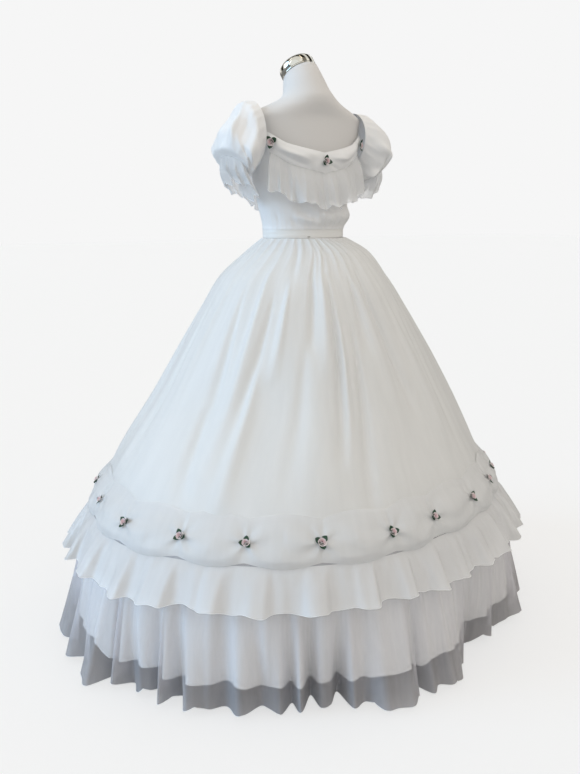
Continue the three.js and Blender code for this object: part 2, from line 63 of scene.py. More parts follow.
def setCamera():
    angle = camera["turn"] * degree
    across = Vector((-math.cos(angle), math.sin(angle), 0))
    ahead = Vector((-math.sin(angle), -math.cos(angle), 0))
    flat = across * math.sin(camera["aside"]) + ahead * math.cos(camera["aside"])
    forward = flat * math.cos(camera["down"]) - Vector((0, 0, math.sin(camera["down"])))
    right = across * math.cos(camera["aside"]) - ahead * math.sin(camera["aside"])
    up = right.cross(forward)
    tiltedRight = right * math.cos(camera["roll"]) + up * math.sin(camera["roll"])
    tiltedUp = up * math.cos(camera["roll"]) - right * math.sin(camera["roll"])
    lens = bpy.data.cameras.new("camera")
    lens.lens = camera["lens"]
    lens.sensor_fit = "VERTICAL"
    lens.sensor_height = camera["sensor"]
    lens.sensor_width = camera["sensor"]
    lens.clip_end = 100
    holder = addObject("camera", lens)
    turned = Matrix((tiltedRight, tiltedUp, -forward)).transposed().to_4x4()
    turned.translation = -ahead * camera["distance"] + Vector((0, 0, camera["height"]))
    holder.matrix_world = turned
    bpy.context.scene.camera = holder


setCamera()
print("camera set")

# Soft curves, ovals and waves


def softBetween(places, values, at):
    # A smooth curve through the values that never overshoots them
    places = np.asarray(places, float)
    values = np.asarray(values, float)
    if places[0] > places[-1]:
        places = places[::-1]
        values = values[::-1]
    slopes = np.diff(values) / np.diff(places)
    tangents = np.concatenate([slopes[:1], np.zeros(len(slopes) - 1), slopes[-1:]])
    same = slopes[:-1] * slopes[1:] > 0
    tangents[1:-1][same] = 2 * slopes[:-1][same] * slopes[1:][same] / (slopes[:-1] + slopes[1:])[same]
    at = np.clip(at, places[0], places[-1])
    index = np.clip(np.searchsorted(places, at) - 1, 0, len(slopes) - 1)
    width = places[index + 1] - places[index]
    part = (at - places[index]) / width
    low = values[index]
    rise = values[index + 1] - low
    before = tangents[index] * width
    after = tangents[index + 1] * width
    bend = part**2 * (3 * rise - 2 * before - after)
    return low + part * before + bend + part**3 * (before + after - 2 * rise)


def column(rows, key):
    return np.array([row[key] for row in rows], float)


def softRow(rows, key, at, keys):
    places = column(rows, key)
    return [softBetween(places, column(rows, name), at) for name in keys]


def ovalPoint(rows, turn, level, out=0):
    long, short, tilt, shift = softRow(rows, "level", level, ("long", "short", "turn", "shift"))
    angle = turn * degree
    lean = angle - tilt * degree
    radius = long * short / np.hypot(short * np.cos(lean), long * np.sin(lean)) + out
    return np.stack([shift + radius * np.sin(angle), radius * np.cos(angle), level + 0 * radius], -1)


def hump(distance):
    return np.where(np.abs(distance) < 1, 0.5 + 0.5 * np.cos(np.pi * np.clip(distance, -1, 1)), 0)


def turnFrom(turn, middle):
    return (turn - middle + 540) % 360 - 180


def unevenWave(turn, count, wander, crisp=0, lean=0):
    # Waves round the body whose widths and heights wander; crisp narrows the crests and lean tips them over
    angle = turn * degree
    height = 0.75 + 0.25 * np.sin(5 * angle + wander)
    phase = count * angle + 0.9 * np.sin(3 * angle + wander) + 0.6 * np.sin(7 * angle)
    return height * np.cos(phase + crisp * np.sin(phase) + lean * np.cos(phase))


def waves(turn, rows):
    # Uneven waves added up, each a height and then its count, wander, crispness and lean
    return sum(height * unevenWave(turn, *shape) for height, *shape in rows)


def clothGrid(across, down, first, last, start=0, end=360):
    # The turn of each column of a cloth's points, and the level, or the part of the way down, of each point
    turns = np.linspace(start, end, across + 1)[:, None]
    if end - start == 360:
        turns = turns[:-1]
    return turns, np.linspace(first, last, down)[None, :] + 0 * turns


# Meshes


def clothSheet(name, points, finish, closed=False):
    # A sheet from its points, first across and then down, its outer side facing out
    across, down = points.shape[:2]
    spans = across if closed else across - 1
    i, j = np.meshgrid(np.arange(spans), np.arange(down - 1), indexing="ij")
    here = i * down + j
    beside = ((i + 1) % across) * down + j
    faces = np.stack([here, beside, beside + 1, here + 1], -1).reshape(-1, 4)
    mesh = bpy.data.meshes.new(name)
    mesh.from_pydata(points.reshape(-1, 3).tolist(), [], faces.tolist())
    middle = points[:, down // 2]
    widths = np.linalg.norm(np.roll(middle, -1, 0) - middle, axis=1)
    along = np.concatenate([[0], np.cumsum(widths)])
    drops = np.linalg.norm(np.diff(points, axis=1), axis=2).mean(0)
    deep = np.concatenate([[0], np.cumsum(drops)])
    u = np.stack([along[i], along[i + 1], along[i + 1], along[i]], -1)
    v = np.stack([deep[j], deep[j], deep[j + 1], deep[j + 1]], -1)
    layer = mesh.uv_layers.new(name="cloth")
    layer.data.foreach_set("uv", np.stack([u, v], -1).ravel())
    mesh.shade_smooth()
    mesh.materials.append(finish)
    piece = addObject(name, mesh)
    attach(piece, "root")
    return piece


def replaceAll(piece, *starts):
    nodes = [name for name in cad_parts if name.startswith(starts)]
    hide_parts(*nodes)


# Finishes


def setInputs(tree, node, values):
    # Each input gets a plain value, or a link from another node's output
    for name, value in values.items():
        if isinstance(value, bpy.types.NodeSocket):
            tree.links.new(value, node.inputs[name])
        else:
            node.inputs[name].default_value = value


def addNode(tree, kind, inputs=None, **settings):
    node = tree.nodes.new(kind)
    for name, value in settings.items():
        setattr(node, name, value)
    setInputs(tree, node, inputs or {})
    return node


def addMath(tree, operation, first, second):
    return addNode(tree, "ShaderNodeMath", {0: first, 1: second}, operation=operation).outputs[0]


def newTree(name, kind, inputs, outputs):
    # A node group with its sockets, each a name, a kind and, where it has one, its own value
    tree = bpy.data.node_groups.new(name, kind)
    for way, sockets in (("INPUT", inputs), ("OUTPUT", outputs)):
        for label, socketKind, *value in sockets:
            socket = tree.interface.new_socket(name=label, in_out=way, socket_type=f"NodeSocket{socketKind}")
            if value:
                socket.default_value = value[0]
    return tree, addNode(tree, "NodeGroupInput").outputs, addNode(tree, "NodeGroupOutput")


def newFinish(name):
    finish = bpy.data.materials.new(name)
    finish.use_nodes = True
    return finish, finish.node_tree, finish.node_tree.nodes["Principled BSDF"]


cloth = {"threadScale": 330.0, "slubStretch": 0.16, "bumpDeep": 0.0006, "sheenRoughness": 0.4}


def makeWeaveGroup():
    # Threads, slubs and soft clouds of a woven cloth, along and across its own UV map
    inputs = [("Vector", "Vector"), ("Thread Scale", "Float", cloth["threadScale"]),
              ("Slub Scale", "Float", 26.0), ("Cover", "Float", 0.7), ("Cover Change", "Float", 0.1),
              ("Colour", "Color", (0.9, 0.9, 0.9, 1)), ("Shade", "Color", (0.8, 0.82, 0.85, 1))]
    outputs = [("Colour", "Color"), ("Cover", "Float"), ("Height", "Float")]
    tree, given, result = newTree("clothWeave", "ShaderNodeTree", inputs, outputs)
    threads = []
    for direction in ("X", "Y"):
        values = {"Distortion": 0.6, "Vector": given["Vector"], "Scale": given["Thread Scale"]}
        wave = addNode(tree, "ShaderNodeTexWave", values, wave_type="BANDS", bands_direction=direction)
        threads.append(wave.outputs["Fac"])
    weave = addMath(tree, "MULTIPLY", *threads)
    values = {"Scale": (1, cloth["slubStretch"], 1), "Vector": given["Vector"]}
    stretch = addNode(tree, "ShaderNodeMapping", values)
    values = {"Detail": 4, "Vector": stretch.outputs[0], "Scale": given["Slub Scale"]}
    slub = addNode(tree, "ShaderNodeTexNoise", values).outputs["Fac"]
    change = addMath(tree, "MULTIPLY", addMath(tree, "SUBTRACT", slub, 0.5), given["Cover Change"])
    cover = addMath(tree, "ADD", given["Cover"], change)
    covered = addMath(tree, "ADD", cover, addMath(tree, "MULTIPLY", weave, 0.05))
    held = addNode(tree, "ShaderNodeClamp", {"Value": covered})
    values = {"Factor": addMath(tree, "MULTIPLY", slub, 0.6), "A": given["Colour"], "B": given["Shade"]}
    mix = addNode(tree, "ShaderNodeMix", values, data_type="RGBA")
    height = addMath(tree, "ADD", addMath(tree, "MULTIPLY", weave, 0.35), slub)
    setInputs(tree, result, {"Colour": mix.outputs["Result"], "Cover": held.outputs[0], "Height": height})
    return tree


clothWeave = makeWeaveGroup()


def clothFinish(name, colour, shade, cover=1.0, change=0.0, roughness=0.6, sheen=0.25, slub=26.0, bump=0.25):
    finish, tree, shader = newFinish(name)
    place = addNode(tree, "ShaderNodeUVMap", uv_map="cloth")
    values = {"Vector": place.outputs["UV"], "Thread Scale": cloth["threadScale"], "Slub Scale": slub,
              "Cover": cover, "Cover Change": change, "Colour": (*colour, 1), "Shade": (*shade, 1)}
    weave = addNode(tree, "ShaderNodeGroup", values, node_tree=clothWeave)
    values = {"Strength": bump, "Distance": cloth["bumpDeep"], "Height": weave.outputs["Height"]}
    raised = addNode(tree, "ShaderNodeBump", values)
    setInputs(tree, shader, {"Roughness": roughness, "Sheen Weight": sheen,
                             "Sheen Roughness": cloth["sheenRoughness"],
                             "Normal": raised.outputs["Normal"], "Base Color": weave.outputs["Colour"]})
    if cover < 1:
        setInputs(tree, shader, {"Alpha": weave.outputs["Cover"]})
    return finish


sheerSkirt = clothFinish("sheerSkirt", (0.88, 0.885, 0.885), (0.82, 0.825, 0.83), 0.74, 0.20, 0.55, 0.3)
sheerRuffle = clothFinish("sheerRuffle", (0.86, 0.865, 0.875), (0.79, 0.795, 0.81),
                          0.64, 0.13, 0.5, 0.3, 40.0)
# The flounce's organza is darker and blue-greyer than the other white organza: painted shade of the skirt's
# lowest tier
sheerFlounce = clothFinish("sheerFlounce", (0.80, 0.79, 0.84), (0.70, 0.69, 0.74),
                           0.35, 0.24, 0.55, 0.25, 36.0)
bodiceOrganza = clothFinish("bodiceOrganza", (0.92, 0.92, 0.925), (0.87, 0.87, 0.885),
                            0.93, 0.12, 0.55, 0.25, 30.0)
underSatin = clothFinish("underSatin", (0.92, 0.92, 0.92), (0.86, 0.87, 0.87),
                         1.0, 0.0, 0.40, 0.1, 9.0, 0.12)
bandSatin = clothFinish("bandSatin", (0.88, 0.875, 0.86), (0.82, 0.815, 0.80),
                        1.0, 0.0, 0.36, 0.15, 12.0, 0.2)
print("cloth finishes made")

# Dress form

form = {"columns": 144, "rows": 110, "neckLeanTurn": 172, "lidShares": (0.97, 0.5, 0.05)}
torsoRings = table(
    "level wide front back centre lean",
    (0.822, 0.118, 0.084, 0.092, 0, 0),
    (0.838, 0.146, 0.102, 0.112, 0, 0),
    (0.885, 0.158, 0.108, 0.122, 0, 0),
    (0.960, 0.142, 0.099, 0.106, 0, 0),
    (1.035, 0.1126, 0.0866, 0.0866, 0, 0),
    (1.060, 0.1126, 0.0866, 0.0866, 0, 0),
    (1.120, 0.124, 0.101, 0.092, 0, 0),
    (1.180, 0.136, 0.118, 0.097, 0, 0),
    (1.225, 0.144, 0.122, 0.100, 0, 0),
    (1.265, 0.153, 0.106, 0.098, 0, 0),
    (1.305, 0.166, 0.086, 0.090, 0.002, 0),
    (1.345, 0.170, 0.070, 0.080, 0.006, 0),
    (1.364, 0.140, 0.064, 0.076, 0.012, 0),
    (1.380, 0.104, 0.060, 0.072, 0.018, 0),
    (1.396, 0.076, 0.058, 0.066, 0.022, 3),
    (1.413, 0.063, 0.055, 0.058, 0.015, 10),
    (1.436, 0.055, 0.049, 0.050, 0.002, 22),
    (1.460, 0.048, 0.039, 0.039, -0.012, 36),
)


def formPoint(turn, level, out=0):
    columns = ("wide", "front", "back", "centre", "lean")
    wide, front, back, centre, lean = softRow(torsoRings, "level", level, columns)
    angle = turn * degree
    x = (wide + out) * np.sin(angle)
    y = (np.where(np.cos(angle) > 0, back, front) + out) * np.cos(angle)
    away = form["neckLeanTurn"] * degree
    towards = x * math.sin(away) + y * math.cos(away)
    return np.stack([x, y + centre, level - towards * np.tan(lean * degree)], -1)


def objectFinish(name, colour, shade, roughness, metallic=0.0, scale=40.0, bump=0.1, coat=0.0):
    # A hard finish whose tone and gloss wander a little over the surface
    finish, tree, shader = newFinish(name)
    place = addNode(tree, "ShaderNodeTexCoord")
    values = {"Scale": scale, "Detail": 5, "Vector": place.outputs["Object"]}
    noise = addNode(tree, "ShaderNodeTexNoise", values).outputs["Fac"]
    values = {"A": (*colour, 1), "B": (*shade, 1), "Factor": noise}
    mix = addNode(tree, "ShaderNodeMix", values, data_type="RGBA")
    values = {"To Min": roughness * 0.85, "To Max": roughness * 1.2, "Value": noise}
    gloss = addNode(tree, "ShaderNodeMapRange", values)
    raised = addNode(tree, "ShaderNodeBump", {"Strength": bump, "Distance": 0.0005, "Height": noise})
    setInputs(tree, shader, {"Metallic": metallic, "Coat Weight": coat, "Base Color": mix.outputs["Result"],
                             "Roughness": gloss.outputs[0], "Normal": raised.outputs["Normal"]})
    return finish


formCover = objectFinish("formCover", (0.76, 0.74, 0.73), (0.69, 0.675, 0.665), 0.62, 0, 900.0, 0.12)
darkChrome = objectFinish("darkChrome", (0.64, 0.625, 0.57), (0.54, 0.525, 0.47), 0.08, 1, 60.0, 0.02, 0.5)
paintedSteel = objectFinish("paintedSteel", (0.84, 0.84, 0.83), (0.78, 0.78, 0.77), 0.35, 0, 500.0, 0.08, 0.2)


def makeTorso():
    turns, levels = clothGrid(form["columns"], form["rows"], torsoRings[-1]["level"], torsoRings[0]["level"])
    points = formPoint(turns, levels)
    top = points[:, :1].mean(0, keepdims=True) + 0 * points[:, :1]
    bottom = points[:, -1:].mean(0, keepdims=True) + 0 * points[:, :1]
    lids = [top + share * (points[:, :1] - top) for share in form["lidShares"][::-1]]
    floors = [bottom + share * (points[:, -1:] - bottom) for share in form["lidShares"]]
    points = np.concatenate([*lids, points, *floors], 1)
    torso = clothSheet("formTorso", points, formCover, True)
    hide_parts("form_torso")


makeTorso()

# Each step of the cap: its radius and its height above the neck
neckCap = {"sides": 96, "clear": 0.0003}
capProfile = [
    (0.0465, 0.0002), (0.048, 0.0012), (0.048, 0.0040), (0.0472, 0.0047), (0.0472, 0.0056),
    (0.048, 0.0063), (0.048, 0.0260), (0.0465, 0.0296), (0.042, 0.0330), (0.035, 0.0350),
    (0.027, 0.0360), (0.012, 0.0366), (0.0005, 0.0367),
]


def makeNeckCap():
    ring = torsoRings[-1]
    away = form["neckLeanTurn"] * degree
    lean = Vector((math.sin(away), math.cos(away), 0))
    axis = Vector((0, 0, math.cos(ring["lean"] * degree))) + lean * math.sin(ring["lean"] * degree)
    along = lean.cross(axis).normalized()
    across = axis.cross(along).normalized()
    centre = Vector((0, ring["centre"], ring["level"]))
    angles = np.linspace(0, 2 * np.pi, neckCap["sides"], endpoint=False)
    points = np.zeros((neckCap["sides"], len(capProfile), 3))
    for i, angle in enumerate(angles):
        aside = across * math.cos(angle) + along * math.sin(angle)
        for j, (radius, rise) in enumerate(capProfile[::-1]):
            points[i, j] = centre + axis * (rise + neckCap["clear"]) + aside * radius
    cap = clothSheet("neckCap", points[::-1], darkChrome, True)
    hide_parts("form_neck_cap")


makeNeckCap()
for nodeName, nodeFinish in (("form_pole", darkChrome), ("form_base", paintedSteel)):
    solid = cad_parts[nodeName]
    solid.data.materials.clear()
    solid.data.materials.append(nodeFinish)
print("dress form made")

# Skirt and underskirt

skirtSizes = {"top": 1.035, "bottom": 0.345, "stations": 1080, "rows": 64,
              "gathers": [(0.0030, 40, 1, 0.4, 0.2)], "softFolds": [(0.0038, 21, 3, 0.3)],
              "broadFolds": [(0.0055, 13, 5, 0.2, 0.3)], "gatherFoot": 0.88, "gatherRise": 0.14,
              "softMiddle": 0.85, "softHalf": 0.20, "broadMiddle": 0.60, "broadHalf": 0.30, "heldBelow": 0.35,
              "heldOver": 0.10}
skirtRings = table(
    "level long short turn shift",
    (1.035, 0.120, 0.092, 90, -0.002),
    (1.000, 0.177, 0.150, 80, -0.012),
    (0.930, 0.245, 0.222, 68, 0),
    (0.850, 0.302, 0.270, 62, 0),
    (0.750, 0.366, 0.325, 60, 0),
    (0.650, 0.426, 0.378, 60, 0.002),
    (0.460, 0.560, 0.482, 60, 0.014),
    (0.320, 0.648, 0.549, 60, 0.012),
)
# Long soft folds: where each starts and ends, how far it stands out or sinks in, and half its width
skirtFolds = table(
    "top topTurn bottom bottomTurn height width",
    (0.97, 54, 0.47, 57, 0.013, 3.0),
    (0.93, 40, 0.70, 43.5, 0.010, 2.4),
    (0.74, 49, 0.42, 50.5, 0.011, 2.4),
    (1.01, 25.5, 0.76, 28.5, -0.011, 2.2),
    (1.03, 19.5, 0.70, 22.8, 0.008, 2.6),
    (0.94, 16, 0.52, 20, -0.012, 1.7),
    (0.88, 14, 0.50, 17.5, 0.007, 1.8),
    (0.83, 8, 0.39, 13.5, -0.012, 2.0),
    (0.97, -9, 0.58, -13.5, -0.012, 2.4),
    (0.95, 0, 0.75, 2.5, -0.010, 2.6),
    (0.94, -4, 0.56, -4, 0.008, 3.4),
    (1.03, 42, 0.92, 37, -0.006, 2.8),
    (1.03, 13, 0.94, 21, -0.005, 2.4),
    (0.92, 66, 0.52, 62, -0.010, 2.6),
    (0.64, 65, 0.42, 60.5, -0.008, 2.4),
    (0.90, 48, 0.60, 52, -0.008, 2.2),
    (0.80, 31, 0.44, 35, -0.006, 3.0),
    (0.95, -26, 0.50, -24, 0.007, 3.4),
    (0.85, -36, 0.46, -33, -0.006, 2.6),
    (0.96, -46, 0.50, -44, 0.006, 3.6),
    (0.92, -62, 0.48, -60, 0.008, 3.6),
    (0.90, -74, 0.50, -71, -0.007, 2.6),
    (0.96, -88, 0.46, -85, -0.008, 3.0),
    (0.94, -103, 0.48, -101, 0.008, 3.4),
    (0.84, -121, 0.44, -118, -0.007, 2.8),
    (0.97, -131, 0.52, -130, 0.006, 2.6),
    (0.95, -144, 0.50, -140, 0.008, 3.4),
    (0.82, -160, 0.44, -157, -0.008, 2.4),
    (0.96, -178, 0.46, -176, 0.008, 3.2),
    (0.94, 173, 0.60, 171, -0.006, 2.2),
    (0.86, 164, 0.44, 162, -0.007, 2.6),
    (0.95, 148, 0.48, 146, 0.008, 3.2),
    (0.84, 129, 0.45, 126, -0.008, 2.8),
    (0.96, 117, 0.58, 118, -0.006, 2.2),
    (0.93, 108, 0.46, 106, 0.008, 3.2),
    (0.88, 92, 0.46, 88, -0.007, 2.8),
    (0.96, 80, 0.52, 81, 0.006, 3.0),
)


def foldHeight(turn, level):
    total = 0 * turn * level
    for fold in skirtFolds:
        part = np.clip((fold["top"] - level) / (fold["top"] - fold["bottom"]), 0, 1)
        middle = fold["topTurn"] + part * (fold["bottomTurn"] - fold["topTurn"])
        aside = turnFrom(turn, middle) / (fold["width"] * (0.55 + 0.6 * part))
        total = total + fold["height"] * np.sin(np.pi * part) ** 0.7 * np.exp(-(aside**2))
    return total


def skirtPoint(turn, level):
    sizes = skirtSizes
    near = np.clip((level - sizes["gatherFoot"]) / sizes["gatherRise"], 0, 1)
    gathers = near**1.6 * waves(turn, sizes["gathers"])
    softer = hump((level - sizes["softMiddle"]) / sizes["softHalf"]) * waves(turn, sizes["softFolds"])
    broad = hump((level - sizes["broadMiddle"]) / sizes["broadHalf"]) * waves(turn, sizes["broadFolds"])
    held = np.clip((level - sizes["heldBelow"]) / sizes["heldOver"], 0, 1)
    folds = (softer + broad + foldHeight(turn, level)) * held
    return ovalPoint(skirtRings, turn, level, gathers + folds)


def makeSkirt():
    sizes = skirtSizes
    turns, levels = clothGrid(sizes["stations"], sizes["rows"], sizes["top"], sizes["bottom"])
    skirt = clothSheet("overskirt", skirtPoint(turns, levels), sheerSkirt, True)
    replaceAll(skirt, "skirt_panel")


makeSkirt()
print("overskirt made")

flounceSizes = {"top": 0.3447, "hem": 0.006, "stations": 1440, "rows": 36, "pleats": [(0.0052, 67, 2, 0.4)],
                "fullness": [(0.006, 27, 6, 0.3, 0.3)],
                "swing": [(0.026, 44, 4, 0.3, 0.4), (0.014, 25, 1, 0, -0.3)],
                "lobe": 0.017, "lobes": 24, "unevenHem": [(0.004, 29, 3), (0.003, 47, 1)], "lift": 0.005,
                "liftBelow": 0.2, "lobesBelow": 0.07, "drawnTo": 80, "drawnFade": 7}
flounceRings = table(
    "level long short turn shift",
    (0.3447, 0.6325, 0.5372, 60, 0.0124),
    (0.180, 0.684, 0.577, 60, 0.010),
    (0.006, 0.712, 0.600, 60, 0.006),
)
# How far from the origin the hem swings at each turn, where the flutes are seen best
hemFlutes = [
    (-42, 0.617), (-38, 0.581), (-34, 0.560), (-31, 0.552), (-27, 0.571), (-24, 0.553), (-21, 0.530),
    (-15, 0.545), (-9, 0.600), (-4, 0.640), (-2, 0.654), (1, 0.636), (3.5, 0.655), (6, 0.602),
    (7.5, 0.660), (12, 0.690), (16, 0.685), (19, 0.640), (21.5, 0.655), (24, 0.589), (26, 0.640),
    (28, 0.646), (30, 0.597), (32, 0.672), (34, 0.618), (36, 0.673), (39.5, 0.650), (43, 0.698),
    (47, 0.665), (50, 0.690), (53, 0.719), (56.5, 0.660), (59, 0.716), (60.8, 0.646), (63, 0.690),
    (66, 0.695), (68.5, 0.672), (71, 0.718), (72.8, 0.650), (74.5, 0.752), (78, 0.745), (83, 0.690),
    (88, 0.725), (93, 0.672), (99, 0.705), (106, 0.670),
]


def ruleHem(turn):
    oval = ovalPoint(flounceRings, turn, flounceSizes["hem"] + 0 * turn)
    reach = np.linalg.norm(oval[..., :2], axis=-1)
    return reach + waves(turn, flounceSizes["swing"])


def hemReach(turn):
    # The drawn hem, and past the outline of the gown, as the camera sees it, the ruled one
    seen = turnFrom(turn, camera["turn"])
    places = np.array([place for place, _ in hemFlutes]) - camera["turn"]
    values = np.array([value for _, value in hemFlutes])
    drawn = softBetween(places, values, seen)
    share = np.clip((flounceSizes["drawnTo"] - np.abs(seen)) / flounceSizes["drawnFade"], 0, 1)
    return share * drawn + (1 - share) * ruleHem(turn)


def flouncePoint(turn, level):
    oval = ovalPoint(flounceRings, turn, level)
    reach = np.linalg.norm(oval[..., :2], axis=-1)
    hem = ovalPoint(flounceRings, turn, flounceSizes["hem"] + 0 * level)
    swing = hemReach(turn) - np.linalg.norm(hem[..., :2], axis=-1)
    part = np.clip((flounceSizes["top"] - level) / (flounceSizes["top"] - flounceSizes["hem"]), 0, 1)
    pleats = np.clip(part * 5, 0, 1) * waves(turn, flounceSizes["pleats"])
    full = hump((part - 0.45) / 0.45) * waves(turn, flounceSizes["fullness"])
    away = swing * (0.25 * part**0.8 + 0.75 * part**1.8) + pleats + full
    return oval * np.stack([1 + away / reach, 1 + away / reach, 1 + 0 * reach], -1)


def makeFlounce():
    sizes = flounceSizes
    turns, levels = clothGrid(sizes["stations"], sizes["rows"], sizes["top"], sizes["hem"])
    points = flouncePoint(turns, levels)
    rise = waves(turns, sizes["unevenHem"]) + sizes["lift"]
    shifted = turns + 2.2 * np.sin(5 * turns * degree) + 1.3 * np.sin(13 * turns * degree)
    notches = np.abs(np.cos(shifted * sizes["lobes"] * degree)) ** 0.7
    lobes = sizes["lobe"] * (1 - notches) * (0.65 + 0.35 * np.sin(7 * turns * degree))
    points[..., 2] += np.clip((sizes["liftBelow"] - levels) / sizes["liftBelow"], 0, 1) * rise
    low = np.clip((sizes["lobesBelow"] - levels) / (sizes["lobesBelow"] - sizes["hem"]), 0, 1)
    points[..., 2] += low * lobes
    flounce = clothSheet("bottomFlounce", points, sheerFlounce, True)
    replaceAll(flounce, "bottom_flounce")
    return points


flouncePoints = makeFlounce()

underskirtSizes = {"top": 1.035, "bottom": 0.066, "stations": 1080, "rows": 70, "clear": 0.012,
                   "blend": 0.006, "folds": [(0.002, 31, 6)], "unevenHem": [(0.006, 17, 2), (0.002, 41, 2)],
                   "foldShare": 0.4, "foldMiddle": 0.7, "foldHalf": 0.34, "liftBelow": 0.12, "liftOver": 0.06}
underskirtRings = table(
    "level long short turn shift",
    (1.035, 0.1176, 0.0896, 90, -0.002),
    (1.000, 0.166, 0.139, 80, -0.012),
    (0.930, 0.231, 0.208, 68, 0),
    (0.850, 0.285, 0.253, 62, 0),
    (0.750, 0.346, 0.305, 60, 0),
    (0.650, 0.404, 0.356, 60, 0.002),
    (0.460, 0.538, 0.460, 60, 0.014),
    (0.330, 0.621, 0.524, 60, 0.012),
    (0.200, 0.664, 0.562, 60, 0.010),
    (0.060, 0.690, 0.584, 60, 0.008),
)


def makeUnderskirt():
    sizes = underskirtSizes
    turns, levels = clothGrid(sizes["stations"], sizes["rows"], sizes["top"], sizes["bottom"])
    ripple = hump((levels - sizes["foldMiddle"]) / sizes["foldHalf"]) * waves(turns, sizes["folds"])
    folds = sizes["foldShare"] * foldHeight(turns, levels) + ripple
    points = ovalPoint(underskirtRings, turns, levels, folds)
    reach = np.linalg.norm(points[..., :2], axis=-1)
    outer = np.linalg.norm(flouncePoint(turns, levels)[..., :2], axis=-1) - sizes["clear"]
    # Under the flounce the satin stays inside it, with a soft turn from one oval to the other
    smaller = -sizes["blend"] * np.logaddexp(-reach / sizes["blend"], -outer / sizes["blend"])
    soft = np.where(levels < flounceSizes["top"], smaller, reach)
    points[..., :2] *= (soft / reach)[..., None]
    low = np.clip((sizes["liftBelow"] - levels) / sizes["liftOver"], 0, 1)
    points[..., 2] += low * waves(turns, sizes["unevenHem"])
    under = clothSheet("underskirt", points, underSatin, True)
    replaceAll(under, "underskirt_panel")
    return points


underskirtPoints = makeUnderskirt()
print("underskirt and flounce made")

# Swag band and upper ruffle

skirtRoses = table(
    "turn level",
    (-42, 0.397), (-24, 0.394), (-4.5, 0.391), (9.5, 0.383), (27, 0.383), (43, 0.386),
    (57.5, 0.387), (74, 0.383), (90, 0.392), (108, 0.390), (124, 0.386), (141, 0.384),
    (158, 0.388), (174, 0.385), (191, 0.383), (207, 0.386), (224, 0.389), (240, 0.386),
    (257, 0.390), (273, 0.394), (289, 0.392), (304, 0.395),
)
band = {"above": 0.050, "below": 0.046, "perPuff": 36, "rows": 26, "clear": 0.0026, "crease": 0.0032}
bandRows = table(
    "drop puff caught",
    (-0.050, -0.0012, -0.0012),
    (-0.036, 0.004, 0.001),
    (-0.018, 0.013, 0.005),
    (0.004, 0.019, 0.009),
    (0.026, 0.017, 0.009),
    (0.040, 0.011, 0.006),
    (0.046, 0.006, 0.004),
)


def bandPlace(turn):
    # The band's middle level, how full the puff is, the metres to the nearest rose, and the puff's number
    turns = np.append(column(skirtRoses, "turn"), skirtRoses[0]["turn"] + 360)
    levels = np.append(column(skirtRoses, "level"), skirtRoses[0]["level"])
    at = (turn - turns[0]) % 360 + turns[0]
    index = np.clip(np.searchsorted(turns, at, side="right") - 1, 0, len(turns) - 2)
    part = (at - turns[index]) / (turns[index + 1] - turns[index])
    level = levels[index] + part * (levels[index + 1] - levels[index])
    width = (turns[index + 1] - turns[index]) * degree * 0.6
    aside = np.where(part < 0.5, part * width, (part - 1) * width)
    return level, np.sin(np.pi * part) ** 1.2, aside, index


def bandPoint(turn, drop, creased=True):
    level, fullness, aside, index = bandPlace(turn)
    caught, puff = softRow(bandRows, "drop", drop, ("caught", "puff"))
    out = band["clear"] + caught + (puff - caught) * fullness
    if creased:
        reach = np.hypot(aside, drop)
        spoke = np.arctan2(drop, aside)
        near = np.clip(reach / 0.014, 0, 1) * np.exp(-((reach / 0.055) ** 2))
        rays = np.cos(5 * spoke + 1.7 * index) * near
        wander = 1.5 * np.sin(aside / 0.03 + index) + 2.1 * index
        lying = np.cos(drop / 0.011 + wander) * fullness * hump(drop / 0.046)
        out = out + band["crease"] * (rays * (0.3 + hump(drop / 0.05)) + 0.8 * lying)
    scallop = 0.010 * (fullness - 0.6) * np.clip((drop + 0.01) / 0.056, 0, 1)
    arch = 0.010 * (0.5 - fullness) * np.clip((0.01 - drop) / 0.06, 0, 1)
    height = level - drop - scallop - arch
    return ovalPoint(skirtRings, turn, height, out)


def makeBand():
    turns = np.concatenate([
        np.linspace(rose["turn"], after, band["perPuff"], endpoint=False)
        for rose, after in zip(skirtRoses, [*column(skirtRoses, "turn")[1:], skirtRoses[0]["turn"] + 360])
    ])[:, None]
    drops = np.linspace(-band["above"], band["below"], band["rows"])[None, :] + 0 * turns
    piece = clothSheet("swagBand", bandPoint(turns, drops), sheerRuffle, True)
    replaceAll(piece, "swag_band")


makeBand()

ruffle = {"drop": 0.084, "stations": 1440, "rows": 16, "clear": 0.0028, "blendLow": 0.300,
          "boxes": [(2.6, 36, 0, 0.2, 0.5), (0.9, 17, 3)], "boxHeight": 0.012,
          "narrow": [(0.0035, 63, 2, 0.5, 0.3)], "gathers": [(0.0016, 110, 1)], "unevenHem": [(0.003, 53, 4)]}
ruffleRows = table("part flare", (0, 0), (0.4, 0.022), (1, 0.040))


